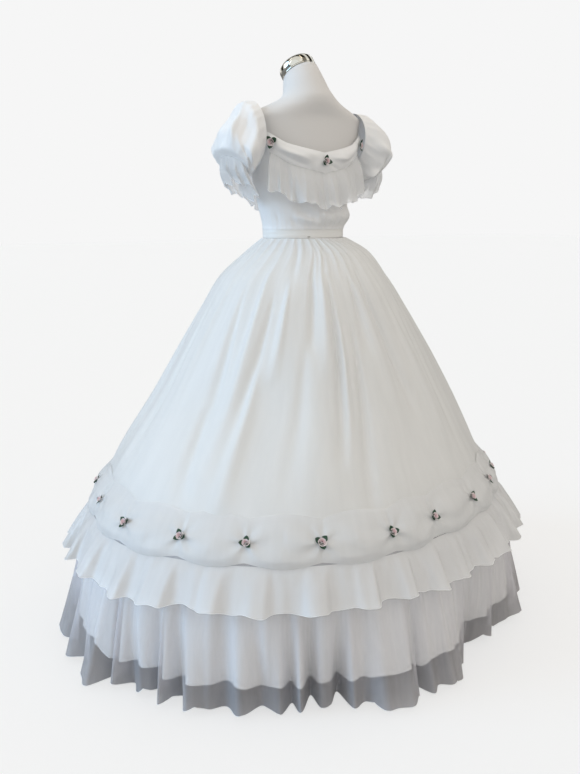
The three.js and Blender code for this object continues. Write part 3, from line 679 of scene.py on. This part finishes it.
def rufflePoint(turn, part):
    level = bandPlace(turn)[0]
    sag = 1 + 0.3 * (1 - np.cos((turn - camera["turn"]) * degree)) + 0.06 * unevenWave(turn, 11, 2)
    height = level - band["below"] - 0.0006 - ruffle["drop"] * sag * part
    flare = softRow(ruffleRows, "part", part, ("flare",))[0]
    broad = ruffle["boxHeight"] * part**0.8 * np.tanh(waves(turn, ruffle["boxes"]))
    narrow = part**0.7 * waves(turn, ruffle["narrow"])
    gathers = hump(part / 0.5) * np.clip(part / 0.1, 0, 1) * waves(turn, ruffle["gathers"])
    # The seam lies on the skirt and the rest hangs over the flounce, with a soft turn between the two ovals
    high = np.clip((height - ruffle["blendLow"]) / (flounceSizes["top"] - ruffle["blendLow"]), 0, 1)
    high = high * high * (3 - 2 * high)
    lower = ovalPoint(flounceRings, turn, np.minimum(height, flounceSizes["top"]))
    upper = ovalPoint(skirtRings, turn, height)
    base = lower + high[..., None] * (upper - lower)
    base[..., 2] = height
    reach = np.linalg.norm(base[..., :2], axis=-1)
    out = ruffle["clear"] + flare + broad + narrow + gathers
    return base * np.stack([1 + out / reach, 1 + out / reach, 1 + 0 * reach], -1)


def makeRuffle():
    turns, parts = clothGrid(ruffle["stations"], ruffle["rows"], 0, 1)
    points = rufflePoint(turns, parts)
    points[..., 2] += parts * waves(turns, ruffle["unevenHem"])
    piece = clothSheet("upperRuffle", points, sheerRuffle, True)
    replaceAll(piece, "upper_ruffle")
    return points


rufflePoints = makeRuffle()
print("band and ruffle made")

# Bodice, waistband and hook

bodice = {"ease": 0.0036, "stations": 360, "rows": 60, "waist": 1.0585, "lap": 0.0010,
          "gathers": [(0.0009, 44, 2, 0.3)], "blouseTurn": -16, "blouseHalf": 74}
neckline = [(0, 1.254), (36, 1.276), (60, 1.306), (72, 1.256), (90, 1.235), (108, 1.250), (120, 1.298),
            (150, 1.258), (180, 1.238)]
# Creases of the bloused bodice: from and to a turn and a level, height and half width in metres
bodiceCreases = table(
    "from to height width",
    ((38, 1.118), (2, 1.080), -0.008, 0.011),
    ((40, 1.096), (-4, 1.068), 0.006, 0.008),
    ((4, 1.112), (-16, 1.092), -0.004, 0.007),
    ((-14, 1.118), (-22, 1.070), -0.004, 0.008),
    ((-34, 1.110), (-44, 1.068), -0.004, 0.008),
    ((44, 1.090), (30, 1.064), -0.003, 0.006),
    ((66, 1.120), (58, 1.068), -0.002, 0.009),
    ((-66, 1.110), (-70, 1.066), -0.003, 0.008),
    ((150, 1.110), (158, 1.066), -0.003, 0.008),
    ((176, 1.118), (180, 1.068), 0.003, 0.008),
    ((204, 1.112), (198, 1.066), -0.003, 0.008),
    ((120, 1.120), (124, 1.068), -0.003, 0.008),
    ((238, 1.116), (234, 1.068), -0.003, 0.008),
)


def necklineLevel(turn):
    places = [place for place, _ in neckline]
    return softBetween(places, [level for _, level in neckline], np.abs(turnFrom(turn, 0)))


def creaseHeight(creases, turn, level, radius):
    # Creases along straight lines between two places of the cloth
    total = 0 * turn * level
    for crease in creases:
        (startTurn, startLevel), (endTurn, endLevel) = crease["from"], crease["to"]
        x = turnFrom(turn, startTurn) * degree * radius
        y = level - startLevel
        dx = turnFrom(endTurn, startTurn) * degree * radius
        dy = endLevel - startLevel
        length = np.hypot(dx, dy)
        part = (x * dx + y * dy) / length**2
        aside = (x * dy - y * dx) / length
        fade = hump(2 * np.clip(part, -0.1, 1.1) - 1) ** 0.6
        total = total + crease["height"] * fade * np.exp(-((aside / crease["width"]) ** 2))
    return total


def nearBlouse(turn):
    return hump(turnFrom(turn, bodice["blouseTurn"]) / bodice["blouseHalf"])


def blouse(turn, level):
    centre = 0.017 * nearBlouse(turn) * hump((level - 1.092) / 0.036)
    side = 0.007 * hump(turnFrom(turn, -62) / 50) * hump((level - 1.090) / 0.036)
    return centre + side


def bodicePoint(turn, level, out=0):
    return formPoint(turn, level, bodice["ease"] + blouse(turn, level) + out)


def makeBodice():
    turns, parts = clothGrid(bodice["stations"], bodice["rows"], 0, 1)
    top = necklineLevel(turns)
    levels = top + (bodice["waist"] - top) * parts
    low = hump((levels - 1.075) / 0.05)
    gathers = low * waves(turns, bodice["gathers"]) * (0.4 + nearBlouse(turns))
    lap = bodice["lap"] * np.clip((1.064 - levels) / 0.004, 0, 1)
    out = gathers + creaseHeight(bodiceCreases, turns, levels, 0.11) + lap
    piece = clothSheet("bodice", bodicePoint(turns, levels, out), bodiceOrganza, True)
    replaceAll(piece, "bodice_")


makeBodice()

waistband = {"top": 1.060, "bottom": 1.0353, "out": 0.0024, "swell": 0.0012, "ripple": 0.0004,
             "stations": 240, "rows": 22, "edge": 0.0006}


def makeWaistband():
    turns, parts = clothGrid(waistband["stations"], waistband["rows"], 0, 1)
    levels = waistband["top"] + (waistband["bottom"] - waistband["top"]) * parts
    swell = waistband["swell"] * np.sin(np.pi * parts) ** 0.35
    wander = 2 * np.pi * parts * 1.5 + 1.2 * np.sin(3 * turns * degree)
    ripple = waistband["ripple"] * np.sin(wander) * hump(2 * parts - 1)
    out = waistband["out"] + swell + ripple
    rolled = np.where(parts < 0.02, -waistband["edge"], 0)
    piece = clothSheet("satinWaistband", formPoint(turns, levels, out + rolled), bandSatin, True)
    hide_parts("waistband")


makeWaistband()
print("bodice and waistband made")

# Bertha: a draped band and a ruffle, on the back and on the front

bertha = {"half": 60, "deep": 0.052, "stations": 300, "rows": 34, "clear": 0.0024, "ruffleHalf": 58,
          "seam": 0.0523, "ruffleDeep": 0.092, "ruffleStations": 420, "ruffleRows": 24,
          "broad": [(0.0045, 30, 5, 0.5, 0.4)],
          "narrow": [(0.0006, 71, 3, 0.5)], "unevenHem": [(0.007, 17, 2), (0.002, 43, 1)]}
berthaBandRows = table(
    "drop puff caught",
    (0, 0.001, 0),
    (0.022, 0.014, 0.006),
    (0.052, 0.004, 0.004),
)
berthaRuffleRows = table(
    "drop flare",
    (0, 0),
    (0.034, 0.018),
    (0.092, 0.032),
)
# Creases of the draped band, the same on the front as on the back
berthaCreases = table(
    "from to height width",
    ((52, 1.258), (14.7, 1.212), -0.006, 0.006),
    ((52, 1.272), (12, 1.228), 0.006, 0.007),
    ((50, 1.290), (5, 1.243), 0.004, 0.008),
    ((-3, 1.226), (-23, 1.204), -0.005, 0.005),
    ((-6, 1.242), (-34, 1.236), 0.004, 0.006),
    ((-54, 1.262), (-16, 1.222), -0.005, 0.006),
    ((-52, 1.282), (-20, 1.250), 0.004, 0.007),
)
# Folds of the ruffle: the turn at its seam and hem, how far it stands out or sinks in, and half its width
ruffleFolds = table(
    "seam hem height width",
    (50, 57, 0.008, 5.0),
    (42, 34, -0.009, 4.0),
    (31, 26, 0.006, 3.6),
    (22, 17, 0.008, 5.0),
    (12, 9, -0.007, 2.6),
    (4, 2, -0.011, 3.0),
    (-5, -7, 0.009, 3.5),
    (-13, -15, -0.008, 3.0),
    (-22, -26, 0.007, 5.0),
    (-36, -42, -0.007, 4.5),
    (-50, -56, 0.006, 5.0),
)
berthaSides = [("Back", 0), ("Front", 180)]


def fromMiddle(turn):
    # Degrees from the centre back, or from the centre front on the front half
    aside = turnFrom(turn, 0)
    return np.where(np.abs(aside) > 90, turnFrom(turn, 180), aside)


def berthaBandPoint(turn, drop, creased=True):
    aside = fromMiddle(turn)
    fullness = np.sin(np.pi * aside / bertha["half"]) ** 2
    puff, caught = softRow(berthaBandRows, "drop", drop, ("puff", "caught"))
    out = bertha["clear"] + caught + (puff - caught) * fullness
    level = necklineLevel(turn) - drop
    if creased:
        spread = np.clip((bertha["half"] - np.abs(aside)) / 8, 0, 1) * hump((drop - 0.026) / 0.030) ** 0.5
        out = out + creaseHeight(berthaCreases, aside, level, 0.12) * spread
        out = out + 0.0012 * spread * np.cos((drop - 0.06 * np.abs(aside) * degree) / 0.0065 + 0.7)
    return bodicePoint(turn, level, out)


def berthaRufflePoint(turn, part):
    drop = bertha["ruffleDeep"] * part
    flare = softRow(berthaRuffleRows, "drop", drop, ("flare",))[0]
    aside = fromMiddle(turn)
    broad = part * waves(turn, bertha["broad"])
    narrow = part**0.6 * waves(turn, bertha["narrow"])
    out = bertha["clear"] + 0.004 + flare + broad + narrow
    for fold in ruffleFolds:
        middle = fold["seam"] + (fold["hem"] - fold["seam"]) * part
        out = out + fold["height"] * part**0.7 * np.exp(-(((aside - middle) / fold["width"]) ** 2))
    return bodicePoint(turn, necklineLevel(turn) - bertha["seam"] - drop, out)


def makeBertha():
    hems = []
    for side, middle in berthaSides:
        ends = (middle - bertha["half"], middle + bertha["half"])
        turns, drops = clothGrid(bertha["stations"], bertha["rows"], 0, bertha["deep"], *ends)
        piece = clothSheet(f"berthaBand{side}", berthaBandPoint(turns, drops), bodiceOrganza)
        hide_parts(f"bertha_band_{side.lower()}")
        ends = (middle - bertha["ruffleHalf"], middle + bertha["ruffleHalf"])
        turns, parts = clothGrid(bertha["ruffleStations"], bertha["ruffleRows"], 0, 1, *ends)
        points = berthaRufflePoint(turns, parts)
        points[..., 2] += parts * (waves(turns, bertha["unevenHem"]) + 0.002)
        piece = clothSheet(f"berthaRuffle{side}", points, sheerRuffle)
        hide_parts(f"bertha_ruffle_{side.lower()}")
        hems.append((piece.name, points[:, -1]))
    return hems


berthaHems = makeBertha()
print("bertha made")

# Sleeves and their frills

sleeve = {"stations": 160, "rows": 56, "gatherHeight": 0.0013, "lobeHeight": 0.011, "frillStations": 240,
          "frillRows": 22, "frillWaves": 10, "frillHeight": 0.010}
sleeveRings = table(
    "at lowX lowZ highX highZ deep share",
    (0, 0.1484, 1.226, 0.158, 1.384, 0.072, 0),
    (1, 0.161, 1.206, 0.184, 1.381, 0.080, 0.4),
    (2, 0.171, 1.194, 0.210, 1.350, 0.088, 1),
    (3, 0.180, 1.190, 0.246, 1.306, 0.092, 0.2),
    (4, 0.186, 1.192, 0.250, 1.270, 0.078, 0),
    (5, 0.190, 1.194, 0.234, 1.246, 0.062, 0),
)
frillRings = table(
    "at lowX lowZ highX highZ deep share",
    (0, 0.190, 1.1937, 0.234, 1.2457, 0.062, 0),
    (1, 0.175, 1.166, 0.234, 1.218, 0.068, 0),
    (2, 0.159, 1.137, 0.217, 1.180, 0.070, 0),
)
sleeveSides = table(
    "name side drop spread",
    ("left", 1, 0, 0),
    ("right", -1, 0.016, 0.024),
)
# Dents and ridges of the puff, each along a line from one turn and ring to another
sleeveFolds = table(
    "from to height width",
    ((-75, 3.0), (-118, 3.9), -0.010, 12),
    ((-40, 1.2), (-62, 3.2), -0.007, 10),
    ((-20, 2.0), (10, 4.5), -0.008, 9),
    ((-100, 1.0), (-104, 2.8), 0.006, 13),
    ((-128, 0.8), (-146, 3.6), -0.006, 10),
    ((22, 1.2), (46, 3.8), -0.006, 10),
    ((76, 2.2), (108, 4.2), -0.008, 11),
    ((130, 1.0), (138, 3.4), 0.006, 12),
)


def sleevePoint(rings, turn, at, side, out=0):
    columns = ("lowX", "lowZ", "highX", "highZ", "deep", "share")
    lowX, lowZ, highX, highZ, deep, share = softRow(rings, "at", at, columns)
    highZ = highZ - side["drop"]
    highX = highX + side["spread"] * share
    reachX = (highX - lowX) / 2
    reachZ = (highZ - lowZ) / 2
    half = np.hypot(reachX, reachZ)
    angle = turn * degree
    grow = (half + out) * np.cos(angle)
    x = lowX + reachX + grow * reachX / half
    z = lowZ + reachZ + grow * reachZ / half
    return np.stack([side["side"] * x, -side["side"] * (deep + out) * np.sin(angle), z], -1)


def sleeveCreases(turn, at):
    total = 0 * turn * at
    for fold in sleeveFolds:
        (startTurn, startAt), (endTurn, endAt) = fold["from"], fold["to"]
        part = np.clip((at - startAt) / (endAt - startAt), -0.2, 1.2)
        middle = startTurn + (endTurn - startTurn) * part
        fade = hump((2 * part - 1) / 1.3)
        total = total + fold["height"] * fade * np.exp(-((turnFrom(turn, middle) / fold["width"]) ** 2))
    return total


def makeSleeves():
    hems = []
    for side in sleeveSides:
        name = side["name"]
        turns, at = clothGrid(sleeve["stations"], sleeve["rows"], 0, sleeveRings[-1]["at"])
        ends = np.clip(at / 0.6, 0, 1) * np.clip((5 - at) / 0.6, 0, 1)
        nearEnds = hump(at / 2.4) + hump((at - 5) / 2.0)
        gathers = sleeve["gatherHeight"] * unevenWave(turns, 22, 2 * side["side"], 0.4) * nearEnds
        spiral = unevenWave(turns + 9 * at, 4, side["side"], 0.2)
        lobes = sleeve["lobeHeight"] * spiral * hump((at - 2.7) / 2.2)
        out = (gathers + lobes + sleeveCreases(turns, at)) * ends
        points = sleevePoint(sleeveRings, turns, at, side, out)
        piece = clothSheet(f"sleeve{name.title()}", points, bodiceOrganza, True)
        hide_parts(f"sleeve_{name}")
        turns, at = clothGrid(sleeve["frillStations"], sleeve["frillRows"], 0, frillRings[-1]["at"])
        frill = unevenWave(turns, sleeve["frillWaves"], side["side"], 0.4, 0.4)
        out = sleeve["frillHeight"] * (at / 2) ** 1.1 * frill
        out = out + 0.0018 * (at / 2) ** 0.6 * unevenWave(turns, 24, 3, 0.5)
        points = sleevePoint(frillRings, turns, at, side, out)
        points[..., 2] += (at / 2) * 0.006 * unevenWave(turns, 5, 2 * side["side"])
        piece = clothSheet(f"sleeveFrill{name.title()}", points, sheerRuffle, True)
        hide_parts(f"sleeve_frill_{name}")
        hems.append((piece.name, points[:, -1]))
    return hems


frillHems = makeSleeves()
print("sleeves made")

# Narrow rolled hems: a fine tube along the edge of each gathered piece

hemSizes = {"radius": 0.0006, "sides": 5}


def makeHemTree():
    inputs = [("Geometry", "Geometry"), ("Radius", "Float", hemSizes["radius"]),
              ("Sides", "Int", hemSizes["sides"]), ("Cloth", "Material")]
    tree, given, result = newTree("rolledHem", "GeometryNodeTree", inputs, [("Geometry", "Geometry")])
    path = addNode(tree, "GeometryNodeMeshToCurve", {"Mesh": given["Geometry"]})
    values = {"Radius": given["Radius"], "Resolution": given["Sides"]}
    profile = addNode(tree, "GeometryNodeCurvePrimitiveCircle", values)
    values = {"Curve": path.outputs["Curve"], "Profile Curve": profile.outputs["Curve"]}
    tube = addNode(tree, "GeometryNodeCurveToMesh", values)
    real = addNode(tree, "GeometryNodeRealizeInstances", {"Geometry": tube.outputs["Mesh"]})
    values = {"Geometry": real.outputs["Geometry"], "Material": given["Cloth"]}
    finish = addNode(tree, "GeometryNodeSetMaterial", values)
    setInputs(tree, result, {"Geometry": finish.outputs["Geometry"]})
    return tree


def setInput(modifier, name, value):
    for item in modifier.node_group.interface.items_tree:
        if item.item_type == "SOCKET" and item.in_out == "INPUT" and item.name == name:
            modifier[item.identifier] = value


def grownMesh(name, seed, tree, finish, **values):
    # Runs a tree on a seed mesh and keeps the result as a plain mesh
    seedObject = addObject(name, seed)
    modifier = seedObject.modifiers.new(tree.name, "NODES")
    modifier.node_group = tree
    for key, value in {**values, "Cloth": finish}.items():
        setInput(modifier, key, value)
    graph = bpy.context.evaluated_depsgraph_get()
    mesh = bpy.data.meshes.new_from_object(seedObject.evaluated_get(graph))
    seedObject.modifiers.remove(modifier)
    seedObject.data = mesh
    mesh.shade_smooth()
    if not mesh.materials:
        mesh.materials.append(finish)
    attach(seedObject, "root")
    return seedObject


hemThread = objectFinish("hemThread", (0.90, 0.91, 0.93), (0.82, 0.83, 0.86), 0.5, 0, 300.0, 0.1)
rolledHem = makeHemTree()


def loopSeed(name, points, closed=True):
    # The points of an edge, joined one to the next
    seed = bpy.data.meshes.new(name)
    count = len(points)
    seed.from_pydata(points, [(i, (i + 1) % count) for i in range(count if closed else count - 1)], [])
    return seed


def makeHems():
    paths = [
        ("flounceHem", flouncePoints[:, -1], True),
        ("ruffleHem", rufflePoints[:, -1], True),
        ("underskirtHem", underskirtPoints[:, -1], True),
    ]
    paths += [(f"{name}Hem", points, False) for name, points in berthaHems]
    paths += [(f"{name}Hem", points, True) for name, points in frillHems]
    for name, points, closed in paths:
        seed = loopSeed(name, points.tolist(), closed)
        hem = grownMesh(name, seed, rolledHem, hemThread, Radius=hemSizes["radius"], Sides=hemSizes["sides"])


makeHems()
print("hems made")

hook = {"turn": 18, "level": 1.0393, "out": 0.0046, "half": 0.0036, "high": 0.0009, "wire": 0.0005,
        "steps": 28, "sides": 8, "waistRadius": 0.108}


def makeHook():
    # A flattened wire loop that lies on the waistband
    vertices = []
    perMetre = 180 / math.pi / hook["waistRadius"]
    for i in range(hook["steps"]):
        angle = 2 * math.pi * i / hook["steps"]
        aside = hook["half"] * math.copysign(abs(math.cos(angle)) ** 0.5, math.cos(angle))
        rise = hook["high"] * math.copysign(abs(math.sin(angle)) ** 0.8, math.sin(angle))
        turn = np.array([hook["turn"] + aside * perMetre])
        vertices.append(tuple(formPoint(turn, np.array([hook["level"] + rise]), hook["out"])[0]))
    seed = loopSeed("backHook", vertices)
    piece = grownMesh("backHook", seed, rolledHem, darkChrome, Radius=hook["wire"], Sides=hook["sides"])
    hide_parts("back_hook")


makeHook()
print("hook made")

# Ribbon roses: a rolled bud on three dark leaves

rose = {"leafLength": 0.0145, "leafWidth": 0.0135, "leafSteps": 6, "budRadius": 0.0112, "budHeight": 0.0100,
        "budFoot": 0.0030, "budSteps": 34, "budRings": 4, "rolls": 2.6, "smallest": 0.94, "largest": 1.1,
        "seed": 7}


def petalFinish():
    finish, tree, shader = newFinish("petalRibbon")
    depth = addNode(tree, "ShaderNodeAttribute", attribute_name="petal")
    ramp = addNode(tree, "ShaderNodeValToRGB", {"Fac": depth.outputs["Fac"]})
    ramp.color_ramp.elements[0].color = (0.80, 0.46, 0.50, 1)
    ramp.color_ramp.elements[1].color = (0.93, 0.91, 0.90, 1)
    middle = ramp.color_ramp.elements.new(0.45)
    middle.color = (0.92, 0.78, 0.80, 1)
    setInputs(tree, shader, {"Roughness": 0.42, "Sheen Weight": 0.3, "Base Color": ramp.outputs["Color"]})
    return finish


petalRibbon = petalFinish()
leafRibbon = objectFinish("leafRibbon", (0.015, 0.055, 0.030), (0.03, 0.085, 0.045), 0.45, 0, 260.0, 0.3)


def plainObject(name, vertices, faces, petals=None):
    mesh = bpy.data.meshes.new(name)
    mesh.from_pydata(vertices, [], faces)
    if petals is not None:
        layer = mesh.attributes.new("petal", "FLOAT", "POINT")
        layer.data.foreach_set("value", petals)
    mesh.shade_smooth()
    return bpy.data.objects.new(name, mesh)


def makeBud():
    # A ribbon rolled up from its middle, taller inside than out
    steps, rings, foot = rose["budSteps"], rose["budRings"], rose["budFoot"]
    vertices, petals, faces = [], [], []
    for i in range(steps + 1):
        part = i / steps
        angle = part * rose["rolls"] * 2 * math.pi
        lip = 0.0006 * math.sin(5 * angle)
        for j in range(rings + 1):
            up = j / rings
            flare = 0.0036 * up * (0.35 + 0.65 * part)
            radius = 0.0006 + (rose["budRadius"] - 0.0044) * part + flare + lip * up
            height = foot + up * (rose["budHeight"] - foot - 0.0040 * part**1.5)
            vertices.append((radius * math.cos(angle), radius * math.sin(angle), height))
            petals.append(0.75 * part + 0.25 * up)
    for i in range(steps):
        for j in range(rings):
            a = i * (rings + 1) + j
            faces.append((a, a + rings + 1, a + rings + 2, a + 1))
    return plainObject("bud", vertices, faces, petals)


def makeLeaves():
    vertices, faces = [], []
    steps = rose["leafSteps"]
    for leaf in range(3):
        around = leaf * 2 * math.pi / 3 + 0.15 * leaf
        start = len(vertices)
        for i in range(steps + 1):
            part = i / steps
            along = 0.002 + rose["leafLength"] * part
            half = rose["leafWidth"] / 2 * math.sin(math.pi * min(1, 0.12 + part * 0.88)) ** 0.8
            lift = 0.0012 + 0.0055 * part**1.4
            for k in (-1, 0, 1):
                x = along * math.cos(around) - k * half * math.sin(around)
                y = along * math.sin(around) + k * half * math.cos(around)
                vertices.append((x, y, lift + 0.0012 * abs(k) - 0.0004 * abs(k) * part))
        for i in range(steps):
            for k in range(2):
                a = start + i * 3 + k
                faces.append((a, a + 3, a + 4, a + 1))
    return plainObject("leaves", vertices, faces)


def makeRoseTree():
    inputs = [("Geometry", "Geometry"), ("Shape", "Object"), ("Smallest", "Float", rose["smallest"]),
              ("Largest", "Float", rose["largest"]), ("Cloth", "Material")]
    tree, given, result = newTree("roseTrim", "GeometryNodeTree", inputs, [("Geometry", "Geometry")])
    shape = addNode(tree, "GeometryNodeObjectInfo", {"Object": given["Shape"]})
    facing = addNode(tree, "GeometryNodeInputNamedAttribute", {"Name": "facing"}, data_type="FLOAT_VECTOR")
    values = {"Seed": rose["seed"], 2: given["Smallest"], 3: given["Largest"]}
    size = addNode(tree, "FunctionNodeRandomValue", values, data_type="FLOAT")
    values = {"Points": given["Geometry"], "Instance": shape.outputs["Geometry"],
              "Rotation": facing.outputs["Attribute"], "Scale": size.outputs[1]}
    place = addNode(tree, "GeometryNodeInstanceOnPoints", values)
    real = addNode(tree, "GeometryNodeRealizeInstances", {"Geometry": place.outputs["Instances"]})
    values = {"Geometry": real.outputs["Geometry"], "Material": given["Cloth"]}
    finish = addNode(tree, "GeometryNodeSetMaterial", values)
    setInputs(tree, result, {"Geometry": finish.outputs["Geometry"]})
    return tree


berthaRoseTurns = (0, 53, -53, 180, 127, -127)
# How far below its band's middle or seam a rose sits, and the drops between which the band's slope is taken
roseSeats = {"skirt": {"drop": 0.0, "above": -0.02, "below": 0.02, "firstSpin": 0, "spin": 37},
             "bertha": {"drop": 0.022, "above": 0.006, "below": 0.040, "firstSpin": 90, "spin": 41}}


def bandSpot(surface, turn, drop):
    return surface(np.array([turn]), np.array([drop]), False)[0]


def rosePlaces(surface, turns, seat):
    # Each rose's foot on its band, the band's directions there, and the turn of its leaves
    places = []
    for index, turn in enumerate(turns):
        aside = bandSpot(surface, turn + 1.5, seat["drop"]) - bandSpot(surface, turn - 1.5, seat["drop"])
        rise = bandSpot(surface, turn, seat["above"]) - bandSpot(surface, turn, seat["below"])
        spin = seat["firstSpin"] + seat["spin"] * index
        places.append((bandSpot(surface, turn, seat["drop"]), aside, rise, spin))
    return places


def makeRoses():
    feet, turns = [], []
    places = rosePlaces(bandPoint, [spot["turn"] for spot in skirtRoses], roseSeats["skirt"])
    places += rosePlaces(berthaBandPoint, berthaRoseTurns, roseSeats["bertha"])
    for here, aside, rise, spin in places:
        outward = Vector(np.cross(rise, aside)).normalized()
        spun = outward.to_track_quat("Z", "Y") @ Matrix.Rotation(spin * degree, 3, "Z").to_quaternion()
        feet.append(Vector(here) + outward * 0.001)
        turns.extend(spun.to_euler())
    tree = makeRoseTree()
    trims = (("roseBuds", makeBud(), petalRibbon), ("roseLeaves", makeLeaves(), leafRibbon))
    for name, shape, finish in trims:
        bpy.context.scene.collection.objects.link(shape)
        seed = bpy.data.meshes.new(name)
        seed.from_pydata(feet, [], [])
        layer = seed.attributes.new("facing", "FLOAT_VECTOR", "POINT")
        layer.data.foreach_set("vector", turns)
        piece = grownMesh(name, seed, tree, finish, Shape=shape)
        bpy.data.objects.remove(shape)
        if name == "roseLeaves":
            replaceAll(piece, "skirt_rose", "rose_")


makeRoses()
print("roses made")
# Floor, backdrop and light

studio = {"floor": (0.28, 0.28, 0.28), "floorGlow": 0.625, "backdrop": (0.922, 0.922, 0.922),
          "sky": (0.825, 0.785, 0.725), "panelScale": 0.55, "panelPhase": 1.0, "reach": 30}


def makeFloor():
    reach = studio["reach"]
    mesh = bpy.data.meshes.new("floor")
    corners = [(-reach, -reach, 0), (reach, -reach, 0), (reach, reach, 0), (-reach, reach, 0)]
    mesh.from_pydata(corners, [], [(0, 1, 2, 3)])
    finish, tree, shader = newFinish("paleFloor")
    # It glows for the camera alone, and not where it is seen through sheer cloth: there its dark grey shows
    # as painted shade inside the hem
    path = addNode(tree, "ShaderNodeLightPath").outputs
    direct = addMath(tree, "LESS_THAN", path["Transparent Depth"], 0.5)
    seen = addMath(tree, "MULTIPLY", direct, path["Is Camera Ray"])
    glow = addMath(tree, "MULTIPLY", seen, studio["floorGlow"])
    setInputs(tree, shader, {"Base Color": (*studio["floor"], 1), "Roughness": 0.9,
                             "Emission Color": (1, 1, 1, 1), "Emission Strength": glow})
    mesh.materials.append(finish)
    addObject("floor", mesh)


def makeSky():
    world = bpy.data.worlds.new("studio")
    world.use_nodes = True
    tree = world.node_tree
    path = addNode(tree, "ShaderNodeLightPath").outputs
    # What polished metal mirrors: bright panels with dark gaps between them
    direction = addNode(tree, "ShaderNodeTexCoord")
    values = {"Scale": studio["panelScale"], "Distortion": 1.2, "Phase Offset": studio["panelPhase"],
              "Vector": direction.outputs["Generated"]}
    panels = addNode(tree, "ShaderNodeTexWave", values, wave_type="BANDS", bands_direction="DIAGONAL")
    tones = addNode(tree, "ShaderNodeValToRGB", {"Fac": panels.outputs["Fac"]})
    tones.color_ramp.elements[0].position = 0.52
    tones.color_ramp.elements[0].color = (0.035, 0.032, 0.025, 1)
    tones.color_ramp.elements[1].position = 0.66
    tones.color_ramp.elements[1].color = (1.05, 1.04, 1.0, 1)
    values = {"A": (*studio["sky"], 1), "Factor": path["Is Glossy Ray"], "B": tones.outputs["Color"]}
    mirrored = addNode(tree, "ShaderNodeMix", values, data_type="RGBA")
    values = {"A": mirrored.outputs["Result"], "Factor": path["Is Camera Ray"], "B": (*studio["backdrop"], 1)}
    mix = addNode(tree, "ShaderNodeMix", values, data_type="RGBA")
    setInputs(tree, tree.nodes["Background"], {"Color": mix.outputs["Result"]})
    bpy.context.scene.world = world
    bpy.context.scene.view_settings.view_transform = "Standard"


# Where light comes from: the camera's left, its own side, which is behind the gown, and above
leftward = Vector((math.cos(camera["turn"] * degree), -math.sin(camera["turn"] * degree), 0))
backward = Vector((math.sin(camera["turn"] * degree), math.cos(camera["turn"] * degree), 0))
suns = table(
    "name left back up strength colour softness",
    ("coolWindow", 1.0, 0.20, 0.34, 1.55, (0.42, 0.70, 1.0), 34),
    ("coolFill", 0.5, 1.0, 0.12, 0.28, (0.50, 0.76, 1.0), 80),
    ("warmFill", -0.8, 0.6, 0.5, 0.20, (1.0, 0.92, 0.80), 60),
)


def towards(light):
    return leftward * light["left"] + backward * light["back"] + Vector((0, 0, light["up"]))


def addSun(sun):
    light = bpy.data.lights.new(sun["name"], "SUN")
    light.energy = sun["strength"]
    light.color = sun["colour"]
    light.angle = sun["softness"] * degree
    addObject(sun["name"], light).rotation_euler = towards(sun).to_track_quat("Z", "Y").to_euler()


# Narrow soft boxes far from the gown, which the chrome cap mirrors as stripes
capStripes = table(
    "left back up power colour",
    (0.68, 0.235, 0.70, 1.1, (1.0, 0.98, 0.94)),
    (0.69, 0.57, 0.45, 1.1, (0.86, 0.94, 1.0)),
    (-0.28, 0.30, 0.92, 1.0, (1.0, 0.84, 0.62)),
)


capCentre = Vector((0, -0.02, 1.49))
stripeSizes = {"width": 0.14, "height": 1.1, "away": 2}


def addStripe(stripe):
    light = bpy.data.lights.new("capStripe", "AREA")
    light.shape = "RECTANGLE"
    light.size = stripeSizes["width"]
    light.size_y = stripeSizes["height"]
    light.energy = stripe["power"]
    light.color = stripe["colour"]
    away = towards(stripe)
    holder = addObject("capStripe", light)
    holder.location = capCentre + away.normalized() * stripeSizes["away"]
    holder.rotation_euler = away.to_track_quat("Z", "Y").to_euler()
    holder.visible_camera = False


makeFloor()
makeSky()
for sun in suns:
    addSun(sun)
for stripe in capStripes:
    addStripe(stripe)
print("studio lit")
